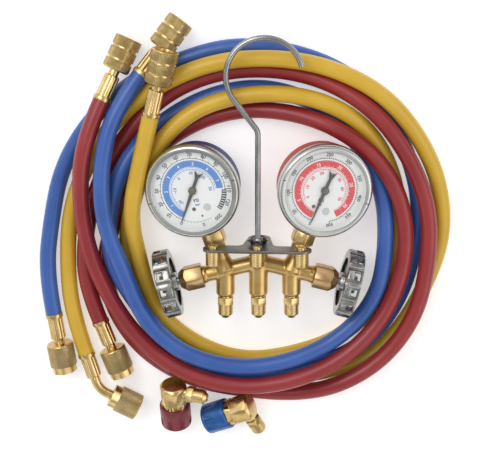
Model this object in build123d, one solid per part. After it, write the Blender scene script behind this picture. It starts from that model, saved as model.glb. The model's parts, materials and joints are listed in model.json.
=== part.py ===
from build123d import *
import os
from math import asin, atan2, cos, degrees, hypot, pi, radians, sin, sqrt, tan

# Two-valve refrigerant manifold gauge set, laid flat: brass manifold with two
# dial gauges, hanger plate and hook, three charging hoses coiled round it and
# two quick couplers.  Millimetres.  +X runs from the low side to the high
# side, +Y towards the hook, +Z up from the surface that the set lies on.

os.makedirs("parts", exist_ok=True)

# ---------------------------------------------------------------- sizes
# Clearances
fit_gap = 0.03            # radial gap of a turned fit
run_gap = 0.05            # radial gap round a turning shaft
seat_gap = 0.1            # end gap between a moving piece and its seat
loose_gap = 0.3           # gap where a piece turns freely

# Forged body
port_pitch = 25.0         # between neighbouring hose ports
arm_slope = 14.0          # degrees that each arm falls towards its handwheel
arm_dia = 12.3
arm_length = 43.2         # from the middle to the shoulder of the packing nut
arm_collar_dia = 13.6
arm_collar_length = 2.4
port_dia = 14.2
port_drop = 26.5          # from the middle down to the port faces
port_chamfer = 1.6
crown_dia = 14.4          # middle boss under the hanger plate
crown_height = 13.4
boss_dia = 13.0           # boss of each gauge
boss_length = 21.0
boss_root_dia = 17.5
boss_root_length = 9.5
gallery_dia = 4.5
knuckle_dia = 15.6        # swelling where arm, port and boss meet

# Valves
spigot_dia = 12.0         # threaded end of the arm, inside the packing nut
spigot_length = 6.8
seat_distance = 22.0      # from the middle along the arm to the valve seat
chamber_dia = 8.2
valve_turns = 2.0
valve_pitch = 1.25
disc_dia = 6.6
disc_length = 3.8
disc_tail_dia = 3.2
disc_tail_length = 3.0
stem_dia = 5.6
stem_thread_length = 10.0
packing_nut_flats = 17.5
packing_nut_length = 18.2
packing_nut_taper = 5.4
packing_nut_nose_dia = 11.5
packing_length = 3.6
packing_wall = 3.6

# Handwheels
wheel_dia = 52.0
wheel_width = 12.0
wheel_rim = 5.4
wheel_web = 3.2
wheel_hub_dia = 14.0
wheel_lobes = 12
wheel_scallop_dia = 9.0
wheel_scallop_depth = 1.5
wheel_window_width = 6.6
wheel_window_depth = 5.2
wheel_lip = 1.4
wheel_standoff = 3.4      # from the packing nut to the wheel, valve shut

# Male flare ends
flare_thread_dia = 11.1   # 7/16 inch thread
flare_thread_length = 8.2
flare_nose_length = 2.7
flare_nose_dia = 5.6
flare_bore_dia = 4.4
collar_flats = 11.6
collar_length = 5.6
groove_length = 1.0
shank_dia = 9.4
shank_length = 8.0

# Hanger plate, posts and hook
plate_thickness = 2.0
plate_bar_width = 15.5
plate_bar_forward = 18.5  # bar's middle line in front of the body's middle plane
plate_tongue_radius = 8.5
plate_tongue_back = 12.0
plate_tongue_root = 12.4
plate_corner = 5.0
plate_yaw = 3.5           # the plate is clamped a little askew
post_pitch = 32.6
post_forward = 19.3       # posts' row in front of the body's middle plane
post_length = 13.0
post_stub_dia = 7.0
post_stub_height = 2.6
crown_stud_dia = 8.0
locknut_dia = 12.0
locknut_height = 4.0
hook_forward = 10.4       # hook's foot in front of the middle plane
hook_rod_dia = 4.2
hook_foot_head = 2.0
hook_head_dia = 5.3
hook_rise = 102.0         # straight part above the body's middle
hook_lean = 39.0
hook_bow = 28.0           # radius of the open bow
hook_bow_rise = 40.5      # bow's centre above the end of the straight part
hook_bow_offset = 4.6     # bow's centre beside the straight part
hook_tip_angle = 14.0
hook_bend = 9.0
hook_nut_flats = 7.2
hook_nut_height = 6.0

# Gauges
gauge_lean = 18.5         # degrees that each gauge leans outward
gauge_turn = 10.0         # degrees that each face is turned outward
gauge_height = 68.5       # from the arm's axis to the dial's middle
case_dia = 65.0
case_back = 12.0
case_front = 11.0
case_wall = 1.3
case_corner = 4.0
bezel_lip = 3.0           # the bezel stands this far outside the case
bezel_dia = case_dia + 2 * bezel_lip
bezel_skirt = 8.4         # where the bezel's skirt starts, along the face axis
bezel_front = 17.0
bezel_opening = 60.5
lens_front = 16.2
lens_thickness = 2.0
dial_thickness = 0.8
dial_rim = 1.0            # upturned rim that keeps the lens off the dial
dial_hole_dia = 3.4
socket_flats = 16.0
socket_hex_length = 11.8
socket_neck_dia = 11.0
socket_thread_dia = 9.7
socket_thread_length = 9.0
socket_block_width = 10.0
socket_block_height = 12.0
socket_block_front = 4.0
tube_radius = 21.5        # Bourdon tube's middle line
tube_width = 7.0
tube_height = 2.6
tube_sweep = 250.0
tube_tip_block = 4.4
sector_teeth = 60
sector_first_tooth = -2
sector_last_tooth = 12
sector_tail = 6.5
sector_tail_angle = 150.0
sector_pin_dia = 1.4
pinion_teeth = 12
gear_module = 0.3
gear_width = 1.2
pinion_width = 2.0
tooth_share = 0.36        # tooth width as a share of the pitch
gear_clearance = 0.12
movement_plate = 0.9
movement_back = -2.9
movement_gap = 4.4
movement_width = 12.0
movement_foot = 3.0
movement_above = 4.5      # plates above the spindle
pointer_tip = 26.0
pointer_tail = 15.5
pointer_thickness = 0.5
pointer_width = 3.0
pointer_hub_dia = 6.0
pointer_hub_height = 1.5
pointer_level = 12.4      # underside of the pointer's hub, along the face axis
spindle_dia = 1.4
dial_low_zero = 37.5      # degrees clockwise from the dial's bottom to zero
dial_high_zero = 4.5

# Hoses and their ends
hose_dia = 12.6
arc_share = 0.45
ferrule_length = 20.5
ferrule_collar_dia = 13.6
ferrule_collar_length = 3.0
ferrule_dia = 11.8
ferrule_chamfer = 0.8
ferrule_flutes = 8
ferrule_flute_dia = 3.6
ferrule_flute_depth = 0.5
nipple_dia = 7.6
nipple_bore_dia = 3.6
nipple_neck = 4.0         # bare neck between ferrule and nut
nipple_tail_dia = 5.6
nipple_tail_length = 14.0
nipple_flange_dia = 10.4
nipple_flange = 2.4
nut_bore_dia = flare_thread_dia + 0.2
nut_depth = 11.0          # from the open end to the nipple's face
nut_thread_length = 10.0
nut_relief_dia = flare_thread_dia + 1.0   # undercut behind the thread
nut_shoulder = 1.4
nut_knurl_dia = 20.8
nut_knurl_length = 23.5
nut_ring_flats = 18.0
nut_ring_sides = 8
nut_ring_length = 5.4
nut_band_flats = 19.8
nut_band_sides = 10
nut_band_round = 0.6      # corners stand this much wider than the flats
nut_band_length = 25.5
nut_band_groove = 1.6
nut_band_groove_dia = 18.4
elbow_radius = 17.0
elbow_angle = 46.0
elbow_lead = 4.0

# Quick couplers
coupler_length = 40.2
coupler_flats = 20.0
coupler_round = 1.8       # corners stand this much wider than the flats
coupler_end_chamfer = 2.4
coupler_recess = 1.2      # socket's rim lies this deep in the sleeve
coupler_neck_dia = 18.6
coupler_band_dia = 20.6
coupler_band_start = 14.0
coupler_band_show = 4.6   # band left bare behind the sleeve
coupler_socket_dia = 13.0
coupler_socket_depth = 15.0
coupler_port_inset = 6.6  # port's axis from the closed end
coupler_port_rise = 10.5  # port's groove from the coupler's axis
sleeve_dia = 24.0
sleeve_length = 20.0
sleeve_travel = 4.0
sleeve_step = coupler_band_start - sleeve_travel - 0.2
sleeve_chamfer = 1.0
sleeve_slots = 8
sleeve_slot_dia = 4.6
sleeve_slot_depth = 1.0
sleeve_slot_start = 3.0
sleeve_slot_length = 7.0

# Where things lie
body_middle_y = -14.0     # body's middle in the row frame
axis_height = wheel_dia / 2


# ---------------------------------------------------------------- helpers
node_count = 0


def save(name, *solids):
    """Write one node's STEP file from one or more separate solids."""
    global node_count
    shape = solids[0] if len(solids) == 1 else Compound(children=list(solids))
    shape.label = name
    export_step(shape, os.path.join("parts", name + ".step"))
    node_count += 1


def along(origin, direction, clock=(0, 0, 1)):
    """Location whose Z runs along direction and whose X leans towards clock."""
    z_dir = Vector(*direction).normalized()
    x_dir = Vector(*clock) - z_dir * z_dir.dot(Vector(*clock))
    return Location(Plane(origin=origin, x_dir=x_dir.normalized(), z_dir=z_dir))


def rod(diameter, start, end):
    """Cylinder on the local Z axis from start to end."""
    return Pos(0, 0, (start + end) / 2) * Cylinder(diameter / 2, end - start)


def taper(dia_start, dia_end, start, end):
    """Cone frustum on the local Z axis from start to end."""
    return Pos(0, 0, (start + end) / 2) * Cone(dia_start / 2, dia_end / 2, end - start)


def prism(sides, flats, start, end):
    """Regular prism on the local Z axis, measured across its flats."""
    outline = RegularPolygon(flats / 2, sides, major_radius=False)
    return Pos(0, 0, start) * extrude(outline, end - start)


def turned(points):
    """Solid of revolution about Z from (radius, height) corners."""
    face = make_face(Polyline(*[(r, 0, z) for r, z in points], close=True))
    return revolve(face, Axis.Z)


def single(shape):
    """The one solid of a finished shape."""
    solids = shape.solids()
    assert len(solids) == 1, len(solids)
    return solids[0]


# Body frame: origin at the body's middle, X along the row, Y towards the hook.
body_frame = Location((0, body_middle_y, axis_height))


def side_name(side):
    return "low" if side < 0 else "high"


def arm_axis(side):
    """Location on the body's middle with Z along one arm."""
    slope = radians(arm_slope)
    return along((0, 0, 0), (side * cos(slope), -sin(slope), 0))


def gauge_frame(side):
    """Gauge's frame: origin where arm and boss meet, Y up its stem, Z out of its face."""
    lean, turn = radians(gauge_lean), radians(gauge_turn)
    stem = Vector(side * sin(lean), cos(lean), 0)
    outward = Vector(side * cos(lean), -sin(lean), 0)
    face = Vector(0, 0, 1) * cos(turn) + outward * sin(turn)
    foot = (side * port_pitch, -port_pitch * tan(radians(arm_slope)), 0)
    return Location(Plane(origin=foot, x_dir=stem.cross(face), z_dir=face))


def down(x, y):
    """Location with Z pointing to -Y from a point of the body's middle plane."""
    return along((x, y, 0), (0, -1, 0))


def stem_line(side):
    """Location at a gauge's foot with Z up its stem."""
    return gauge_frame(side) * Rot(-90, 0, 0)


# ---------------------------------------------------------------- manifold
node_y = -port_pitch * tan(radians(arm_slope))
nut_start = arm_length
spigot_end = nut_start + spigot_length
packing_start = spigot_end + seat_gap
packing_end = packing_start + packing_length
nut_end = nut_start + packing_nut_length


def manifold_body():
    """Forged brass body with its crown, ports, gauge bosses and galleries."""
    body = down(0, crown_height) * rod(crown_dia, 0, crown_height + port_drop)
    body += down(0, crown_height) * rod(crown_stud_dia, -plate_thickness - locknut_height + 0.6, 1)
    body += Sphere(knuckle_dia / 2)
    for side in (-1, 1):
        axis = arm_axis(side)
        body += axis * rod(arm_dia, 0, arm_length)
        body += axis * rod(arm_collar_dia, arm_length - arm_collar_length, arm_length)
        body += axis * rod(spigot_dia, arm_length, spigot_end)
        foot = (side * port_pitch, node_y)
        body += Pos(*foot, 0) * Sphere(knuckle_dia / 2)
        body += down(*foot) * rod(port_dia, 0, port_drop + node_y)
        stem = stem_line(side)
        body += stem * rod(boss_dia, 0, boss_length)
        body += stem * taper(boss_root_dia, boss_dia, 0, boss_root_length)
    ports = body.edges().filter_by(GeomType.CIRCLE).filter_by(
        lambda edge: abs(edge.center().Y + port_drop) < 0.01 and edge.radius > 5)
    body = chamfer(ports, port_chamfer)
    body -= down(0, 0) * rod(gallery_dia, -2, port_drop - shank_length)
    body -= down(0, 0) * rod(shank_dia + 2 * fit_gap, port_drop - shank_length, port_drop + 1)
    for side in (-1, 1):
        axis = arm_axis(side)
        body -= axis * rod(gallery_dia, -1, seat_distance + 1)
        body -= axis * rod(chamber_dia, seat_distance, spigot_end + 1)
        foot = down(side * port_pitch, node_y)
        depth = port_drop + node_y
        body -= foot * rod(gallery_dia, -1, depth - shank_length)
        body -= foot * rod(shank_dia + 2 * fit_gap, depth - shank_length, depth + 1)
        stem = stem_line(side)
        thread_floor = boss_length - socket_thread_length - 0.5
        body -= stem * rod(gallery_dia, 0, thread_floor + 1)
        body -= stem * rod(socket_thread_dia + 2 * fit_gap, thread_floor, boss_length + 1)
    return single(body)


def flare_end(start):
    """Collar, thread and nose of a male flare end, from start along Z."""
    collar_end = start + groove_length + collar_length
    thread_end = collar_end + flare_thread_length
    piece = rod(shank_dia, start, start + groove_length)
    piece += prism(6, collar_flats, start + groove_length, collar_end)
    piece += rod(flare_thread_dia, collar_end, thread_end)
    piece += taper(flare_thread_dia - 1.4, flare_nose_dia, thread_end, thread_end + flare_nose_length)
    return piece, thread_end + flare_nose_length


def port_fitting(x):
    """Male flare fitting screwed into one port of the body."""
    end, tip = flare_end(0)
    piece = end + rod(shank_dia, -shank_length + 0.2, 0)
    piece -= rod(flare_bore_dia, -shank_length, tip + 1)
    return single(down(x, -port_drop) * piece)


def packing_nut(side):
    """Gland nut on the end of an arm."""
    hex_end = nut_end - packing_nut_taper
    corner_dia = packing_nut_flats / cos(radians(30))
    piece = prism(6, packing_nut_flats, nut_start, nut_end)
    round_off = rod(corner_dia - 0.6, nut_start, hex_end)
    round_off += taper(corner_dia - 0.6, packing_nut_nose_dia, hex_end, nut_end)
    piece &= round_off
    piece -= rod(spigot_dia + 2 * fit_gap, nut_start - 1, packing_end + seat_gap)
    piece -= rod(stem_dia + 2 * loose_gap, nut_start, nut_end + 1)
    return single(arm_axis(side) * piece)


def stem_packing(side):
    """Packing ring squeezed round a valve stem."""
    ring = rod(spigot_dia - 2 * fit_gap, packing_start, packing_end)
    ring -= rod(stem_dia + 2 * run_gap, packing_start - 1, packing_end + 1)
    return single(arm_axis(side) * ring)


disc_start = seat_distance + seat_gap
disc_end = disc_start + disc_length
stem_start = disc_end + seat_gap
stem_thread_end = stem_start + stem_thread_length
wheel_start = nut_end + wheel_standoff
wheel_end = wheel_start + wheel_width


def valve_disc(side):
    """Seat disc that the stem pushes home, with the tail it turns on."""
    piece = taper(gallery_dia + 0.6, disc_dia, disc_start, disc_start + 1.4)
    piece += rod(disc_dia, disc_start + 1.4, disc_end)
    piece += rod(disc_tail_dia, disc_end - 0.5, disc_end + disc_tail_length)
    return single(arm_axis(side) * piece)


def valve_stem(side):
    """Stem with its screwed part, plain shank and the end that carries the wheel."""
    piece = rod(chamber_dia - 2 * run_gap, stem_start, stem_thread_end)
    piece += rod(stem_dia, stem_thread_end, wheel_end - 2.0)
    socket_depth = disc_tail_length + seat_gap
    piece -= rod(disc_tail_dia + 2 * run_gap, stem_start - 1, stem_start + socket_depth)
    return single(arm_axis(side) * piece)


def handwheel(side):
    """Cast wheel: hub, dished web and a lobed rim with a window in each lobe."""
    rim_in = wheel_dia / 2 - wheel_rim
    web_out = wheel_start + 2.0
    piece = rod(wheel_dia, wheel_start, wheel_end)
    piece -= rod(2 * rim_in, web_out + wheel_web, wheel_end + 1)
    piece -= taper(2 * rim_in - 4, 2 * rim_in, wheel_start - 0.01, web_out)
    piece += rod(wheel_hub_dia, wheel_start - 1.6, wheel_end - 1.0)
    piece = chamfer(piece.edges().filter_by(GeomType.CIRCLE).filter_by(
        lambda edge: abs(edge.radius - wheel_dia / 2) < 0.01), 1.2)
    scallop_at = wheel_dia / 2 + wheel_scallop_dia / 2 - wheel_scallop_depth
    window_at = wheel_end - wheel_lip - wheel_window_depth / 2
    cutters = []
    for index in range(wheel_lobes):
        angle = 360 / wheel_lobes * index
        scallop = Rot(0, 0, angle + 180 / wheel_lobes) * Pos(scallop_at, 0, 0) * rod(
            wheel_scallop_dia, wheel_start - 1, wheel_end + 1)
        window = Rot(0, 0, angle) * Pos(wheel_dia / 2, 0, window_at) * Box(
            2 * wheel_rim + 2, wheel_window_width, wheel_window_depth)
        cutters += [scallop, window]
    piece -= cutters
    piece -= rod(stem_dia + 2 * fit_gap, wheel_start - 2, wheel_end - 2.0 + fit_gap)
    return single(arm_axis(side) * piece)


# ---------------------------------------------------------------- hanger
plate_top = crown_height + plate_thickness
plate_frame = Location((0, crown_height, 0), (0, -plate_yaw, 0)) * Location((0, 0, 0), (-90, 0, 0))
# In the plate's frame X runs along the bar, Y points to the back of the body
# and Z stands up from the plate's underside.


def hanger_plate():
    """Flat plate: a bar with round ends and a tongue to the rear."""
    outline = Pos(0, -plate_bar_forward) * SlotCenterToCenter(2 * post_pitch, plate_bar_width)
    root = -plate_bar_forward + plate_bar_width / 2 - 3
    tongue = Polygon(
        (-plate_tongue_root, root), (plate_tongue_root, root),
        (plate_tongue_radius, plate_tongue_back), (-plate_tongue_radius, plate_tongue_back), align=None)
    tongue += Pos(0, plate_tongue_back) * Circle(plate_tongue_radius)
    outline += tongue
    inner = outline.vertices().filter_by(
        lambda corner: abs(corner.Y + plate_bar_forward - plate_bar_width / 2) < 0.01
        and abs(corner.X) < plate_tongue_root + 1)
    outline = fillet(inner, plate_corner)
    outline -= Circle(crown_stud_dia / 2 + fit_gap)
    outline -= Pos(0, -hook_forward) * Circle(hook_rod_dia / 2 + loose_gap / 2)
    for index in (-1, 0, 1):
        outline -= Pos(index * post_pitch, -post_forward) * Circle(post_stub_dia / 2 + fit_gap)
    return single(plate_frame * extrude(outline, plate_thickness))


def anchor_post(index):
    """Threaded post that parks one hose end below the plate."""
    piece = rod(flare_thread_dia, -post_length + 2.2, 0)
    piece += taper(flare_nose_dia + 1.6, flare_thread_dia - 0.6, -post_length, -post_length + 2.2)
    piece += rod(post_stub_dia, 0, plate_thickness + post_stub_height - 0.8)
    piece += taper(post_stub_dia, post_stub_dia - 1.6,
                   plate_thickness + post_stub_height - 0.8, plate_thickness + post_stub_height)
    spot = Pos(index * post_pitch, -post_forward, 0)
    return single(plate_frame * spot * piece)


def plate_locknut():
    """Dark round locknut on the body's stud, holding the plate down."""
    piece = rod(locknut_dia, plate_thickness, plate_thickness + locknut_height)
    rim = piece.edges().filter_by(GeomType.CIRCLE).sort_by(Axis.Z)[-1]
    piece = chamfer(rim, 0.8)
    piece -= rod(crown_stud_dia + 2 * fit_gap, 0, 20)
    return single(plate_frame * piece)


# Hook: its foot's axis in the body frame
hook_foot = (plate_frame * Pos(0, -hook_forward, 0)).position
hook_axis = Location((hook_foot.X, 0, hook_foot.Z))


def hook():
    """Bent rod with a headed foot below the plate and an open bow."""
    foot = crown_height - loose_gap
    centre_x, centre_y = hook_bow_offset, hook_rise + hook_bow_rise
    knee = (0, hook_rise)
    reach = hypot(centre_x, hook_bow_rise)
    tangent = sqrt(reach ** 2 - hook_bow ** 2)
    lean = degrees(asin(hook_bow / reach)) - degrees(atan2(centre_x, hook_bow_rise))
    touch = (-tangent * sin(radians(lean)), hook_rise + tangent * cos(radians(lean)))
    start = degrees(atan2(touch[1] - centre_y, touch[0] - centre_x))
    tip = (centre_x + hook_bow * cos(radians(hook_tip_angle)),
           centre_y + hook_bow * sin(radians(hook_tip_angle)))
    crest = (centre_x, centre_y + hook_bow)
    straight = FilletPolyline((0, foot), knee, touch, radius=hook_bend)
    path = straight + ThreePointArc(touch, crest, tip)
    profile = Plane(origin=(0, foot, 0), x_dir=(1, 0, 0), z_dir=(0, 1, 0)) * Circle(hook_rod_dia / 2)
    piece = sweep(profile, path=path)
    piece += down(0, foot) * rod(hook_head_dia, 0, hook_foot_head)
    return single(hook_axis * piece)


def hook_nut():
    """Domed nut on the hook's rod, above the plate."""
    start = plate_top + loose_gap
    end = start + hook_nut_height
    lift = along((0, 0, 0), (0, 1, 0))
    piece = prism(6, hook_nut_flats, start, end)
    piece &= rod(hook_nut_flats, start, end - 2) + taper(hook_nut_flats + 1, hook_rod_dia + 1.6, end - 2, end) \
        + rod(hook_nut_flats / cos(radians(30)), start, end - 2.4)
    piece -= rod(hook_rod_dia + 2 * fit_gap, start - 1, end + 1)
    return single(hook_axis * lift * piece)


# ---------------------------------------------------------------- gauges
# In a gauge's face frame X runs across the dial, Y up it and Z out of it.

case_radius = case_dia / 2
case_inside = case_radius - case_wall
lens_back = lens_front - lens_thickness
block_top = -case_inside + socket_block_height
dial_front = case_front + dial_thickness
gear_distance = gear_module * (sector_teeth + pinion_teeth) / 2
gear_level = movement_back + movement_plate + (movement_gap - gear_width) / 2
zero_angles = {-1: dial_low_zero, 1: dial_high_zero}


def face_frame(side):
    """Location of a gauge's face: origin in the middle of the dial."""
    return gauge_frame(side) * Pos(0, gauge_height, 0)


def gauge_case():
    """Open cup with a rounded back edge and a hole for the socket's neck."""
    cup = rod(case_dia, -case_back, case_front)
    cup = fillet(cup.edges().filter_by(GeomType.CIRCLE).sort_by(Axis.Z)[0], case_corner)
    hollow = rod(2 * case_inside, -case_back + case_wall, case_front + 1)
    hollow = fillet(hollow.edges().filter_by(GeomType.CIRCLE).sort_by(Axis.Z)[0], case_corner - case_wall)
    neck = down(0, -case_inside + 3) * rod(socket_neck_dia + 2 * fit_gap, 0, 3 + 2 * case_wall)
    return single(cup - hollow - neck)


def gauge_bezel():
    """Plated ring that holds dial and lens on the case."""
    grip = case_radius + fit_gap
    return turned([
        (grip, bezel_skirt), (bezel_dia / 2 - 0.8, bezel_skirt), (bezel_dia / 2, bezel_skirt + 0.8),
        (bezel_dia / 2, bezel_front - 2.0), (bezel_dia / 2 - 1.4, bezel_front - 0.4),
        (bezel_dia / 2 - 2.6, bezel_front), (bezel_opening / 2, bezel_front - 0.3),
        (bezel_opening / 2, lens_front), (grip, lens_front)])


def gauge_lens():
    """Flat clear disc held against the bezel's lip."""
    return rod(case_dia, lens_back, lens_front)


def gauge_dial():
    """Shallow dish: printed face with an upturned rim under the lens."""
    piece = rod(case_dia, case_front, dial_front)
    piece += rod(case_dia, dial_front, lens_back) - rod(case_dia - 2 * dial_rim, dial_front - 1, lens_back + 1)
    return single(piece - rod(dial_hole_dia, case_front - 1, dial_front + 1))


def gauge_socket():
    """Socket trimmed to the inside of its case, with its gauge passage."""
    up = along((0, -gauge_height, 0), (0, 1, 0))
    inside = gauge_height - case_inside
    hex_end = boss_length + socket_hex_length
    corner_dia = socket_flats / cos(radians(30))
    hexagon = prism(6, socket_flats, boss_length, hex_end)
    hexagon &= taper(boss_dia, corner_dia - 0.5, boss_length, boss_length + 2.4) \
        + rod(corner_dia - 0.5, boss_length + 2.4, hex_end)
    shank = rod(socket_thread_dia, boss_length - socket_thread_length, boss_length)
    neck = rod(socket_neck_dia, hex_end, inside + 2)
    back = -case_back + case_wall
    block = Pos(0, block_top - socket_block_height / 2, (socket_block_front + back) / 2) * Box(
        socket_block_width, socket_block_height, socket_block_front - back)
    corner = case_corner - case_wall
    block &= taper(2 * (case_inside - corner), 2 * case_inside, back, back + corner) \
        + rod(2 * case_inside, back + corner, case_front)
    piece = up * (hexagon + shank + neck) + block
    piece -= up * rod(gallery_dia - 1.5, boss_length - socket_thread_length - 1, inside + 6)
    return single(piece)


def bourdon_tube():
    """Flattened C-shaped tube from the socket's block to its closed tip."""
    section = Pos(tube_radius, 0) * SlotOverall(tube_width, tube_height, rotation=90)
    section = Plane.XZ * section
    ring = revolve(section, Axis.Z, tube_sweep)
    ring = Rot(0, 0, -90) * ring
    tip_angle = radians(tube_sweep - 90)
    tip = Location((tube_radius * cos(tip_angle), tube_radius * sin(tip_angle), 0),
                   (0, 0, tube_sweep - 90)) * Box(tube_tip_block, tube_tip_block, tube_width - 1)
    ring -= Pos(0, block_top - socket_block_height / 2, 0) * Box(
        socket_block_width, socket_block_height, 4 * tube_width)
    return single(ring + tip)


def gear_profile(teeth, first, last, offset):
    """Tooth sectors of a small gear, from tooth first to tooth last."""
    pitch_radius = gear_module * teeth / 2
    root = pitch_radius - gear_module - gear_clearance
    tip = pitch_radius + gear_module
    pitch_angle = 2 * pi / teeth
    base_half = pitch_angle * tooth_share * 0.72
    tip_half = pitch_angle * tooth_share * 0.3
    tooth_list = []
    for index in range(first, last + 1):
        middle = offset - index * pitch_angle
        corners = [(root - 0.3, -base_half), (tip, -tip_half), (tip, tip_half), (root - 0.3, base_half)]
        tooth_list.append(Polygon(
            *[(radius * cos(middle + half), radius * sin(middle + half)) for radius, half in corners],
            align=None))
    return tooth_list, root


def movement_frame():
    """Two plates on one foot that carry the spindle and the sector's pin."""
    height = movement_above - block_top
    middle = (movement_above + block_top) / 2
    depth = movement_gap + 2 * movement_plate
    piece = Pos(0, middle, movement_back + depth / 2) * Box(movement_width, height, depth)
    slot_height = height - movement_foot
    piece -= Pos(0, movement_above - slot_height / 2 + 1, movement_back + depth / 2) * Box(
        movement_width + 2, slot_height + 2, movement_gap)
    piece -= rod(spindle_dia + 2 * run_gap, movement_back - 1, movement_back + depth + 1)
    piece -= Pos(0, -gear_distance, 0) * rod(
        sector_pin_dia + 2 * run_gap, movement_back - 1, movement_back + depth + 1)
    return single(piece)


def sector_gear():
    """Toothed sector with its pin and the tail that the tube's link pulls."""
    tooth_list, root = gear_profile(sector_teeth, sector_first_tooth, sector_last_tooth, pi / 2)
    pitch = 360 / sector_teeth
    first_angle = 90 - (sector_last_tooth + 0.5) * pitch
    sweep_angle = (sector_last_tooth - sector_first_tooth + 1) * pitch
    start, end = radians(first_angle), radians(first_angle + sweep_angle)
    middle = (start + end) / 2
    arc = ThreePointArc((root * cos(start), root * sin(start)), (root * cos(middle), root * sin(middle)),
                        (root * cos(end), root * sin(end)))
    fan = make_face(Line((0, 0), arc @ 0) + arc + Line(arc @ 1, (0, 0)))
    fan -= Rot(0, 0, degrees(middle)) * Pos(root - 4.4, 0) * SlotOverall(4.4, 2.4, rotation=90)
    outline = fan + tooth_list + Circle(1.7)
    tail = Rot(0, 0, sector_tail_angle)
    outline += tail * Pos(sector_tail / 2, 0) * SlotCenterToCenter(sector_tail, 2.4)
    outline -= tail * Pos(sector_tail, 0) * Circle(0.5)
    piece = Pos(0, 0, gear_level) * extrude(outline, gear_width)
    piece += rod(sector_pin_dia, movement_back - 0.4, movement_back + movement_gap + 2 * movement_plate + 0.4)
    return single(Pos(0, -gear_distance, 0) * piece)


def needle(zero_angle):
    """Pointer with its hub, spindle and pinion, resting at zero."""
    tooth_list, root = gear_profile(pinion_teeth, 0, pinion_teeth - 1, pi / pinion_teeth - pi / 2)
    middle = gear_level + gear_width / 2
    gear = extrude(Circle(root) + tooth_list, pinion_width)
    piece = Pos(0, 0, middle - pinion_width / 2) * gear
    piece += rod(spindle_dia, movement_back - 0.4, pointer_level)
    piece += rod(pointer_hub_dia, pointer_level, pointer_level + pointer_hub_height)
    half = pointer_width / 2
    blade = Polygon((half, 0), (0.35, pointer_tip - 0.6), (0, pointer_tip), (-0.35, pointer_tip - 0.6),
                    (-half, 0), align=None)
    tail = Polygon((-half * 0.8, 0), (-half * 0.8, -pointer_tail + 6), (-half * 2.2, -pointer_tail),
                   (0, -pointer_tail + 2.5), (half * 2.2, -pointer_tail), (half * 0.8, -pointer_tail + 6),
                   (half * 0.8, 0), align=None)
    flat = extrude(blade + tail, pointer_thickness)
    piece += Rot(0, 0, 180 - zero_angle) * Pos(0, 0, pointer_level + 0.4) * flat
    return single(piece)


# ---------------------------------------------------------------- hoses
# Corners of each hose's centre line, from its manifold end to its far end.
hose_routes = {
    "blue": [
        (-87, 127, 20.5), (-107, 101, 26.5), (-117, 62, 31), (-116, 19, 34.5), (-101, -20, 34),
        (-86, -60, 34.5), (-55, -88, 31.5), (-14, -99, 29.5), (26, -93, 29), (63.7, -76.2, 22.3),
        (91, -44.6, 18.9), (97, -2, 20), (94, 39, 15), (75, 74, 6.5), (46, 103, 6.5),
        (6, 117, 6.5), (-35, 111, 6.5), (-72, 91, 7.5), (-100, 63, 19), (-113, 25, 19.5),
        (-113, -15, 20.5), (-92, -52, 21), (-67, -84, 19), (-31, -105, 18.5), (11, -107, 20),
        (51, -100, 15), (85, -84, 9.5), (109, -51, 6.5), (120, -12, 6.5), (123, 30, 6.5),
        (111, 70, 6.5), (91, 106, 6.5), (58, 131, 6.5), (19, 144, 6.5), (-22, 147, 6.5),
        (-62, 135, 6.5), (-99, 117, 6.5), (-128, 89, 6.5), (-149, 54, 6.5), (-158, 14, 6.5),
        (-163, -27, 11), (-158, -60, 11),
    ],
    "yellow": [
        (-79, 99, 35.5), (-87, 66, 33.5), (-96, 25, 34), (-91, -13, 17.5), (-82.5, -54, 10),
        (-54.8, -83.2, 8.2), (-14, -100, 8), (28, -95, 7), (67, -80, 6.5), (95, -49, 6.5),
        (106, -8, 6.5), (107, 34, 6.5), (92, 73, 6.5), (64, 101, 20), (26, 114, 22),
        (-17, 112, 19), (-55, 98, 20), (-83, 65, 21.5), (-96, 27, 19.5), (-102, -12, 7.5),
        (-96, -52.6, 6.5), (-75, -87, 6.5), (-40, -107, 6.5), (3, -113, 6.5), (44, -112, 6.5),
        (83, -102, 6.5), (111, -74, 6.5), (130, -37, 6.5), (142, 3, 6.5), (137, 45, 6.5),
        (118, 83, 15), (91, 114, 21), (53, 133, 20), (12, 140, 19.5), (-31, 137, 17.5),
        (-70, 122, 18.5), (-103, 97, 9.5), (-127, 63, 8.5), (-143, 24, 7.5), (-147, -18, 6.5),
        (-144, -59, 11.5), (-134, -92, 11.5),
    ],
    "red": [
        (-116, 108, 21), (-130, 78, 27.5), (-134, 37, 23.5), (-129, -6, 23), (-113, -46, 22.5),
        (-89, -81, 22.5), (-54, -105, 29.5), (-13, -114, 31.5), (29, -108, 32), (67, -91, 27),
        (96, -60.8, 21.6), (111, -21, 21), (111, 22, 21.5), (94, 60, 22), (61, 87, 22),
        (22, 99, 13), (-20, 99, 6.5), (-59, 84, 6.5), (-91, 56, 6.5), (-108, 18, 6.5),
        (-120, -20, 6.5), (-112, -61, 6.5), (-88, -95, 6.5), (-51, -117, 6.5), (-11, -125, 6.5),
        (30, -128, 7), (64, -116, 20.5), (98, -94, 19.5), (121, -59, 20), (129, -18, 20),
        (129, 24, 20), (114, 63, 20), (89, 98, 22), (55, 120, 12), (14, 130, 7.5), (-29, 128, 6.5),
        (-68, 112, 6.5), (-98, 83, 6.5), (-120, 47, 6.5), (-132, 7, 6.5), (-134, -35, 11),
        (-122.5, -65.7, 11),
    ],
}


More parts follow.
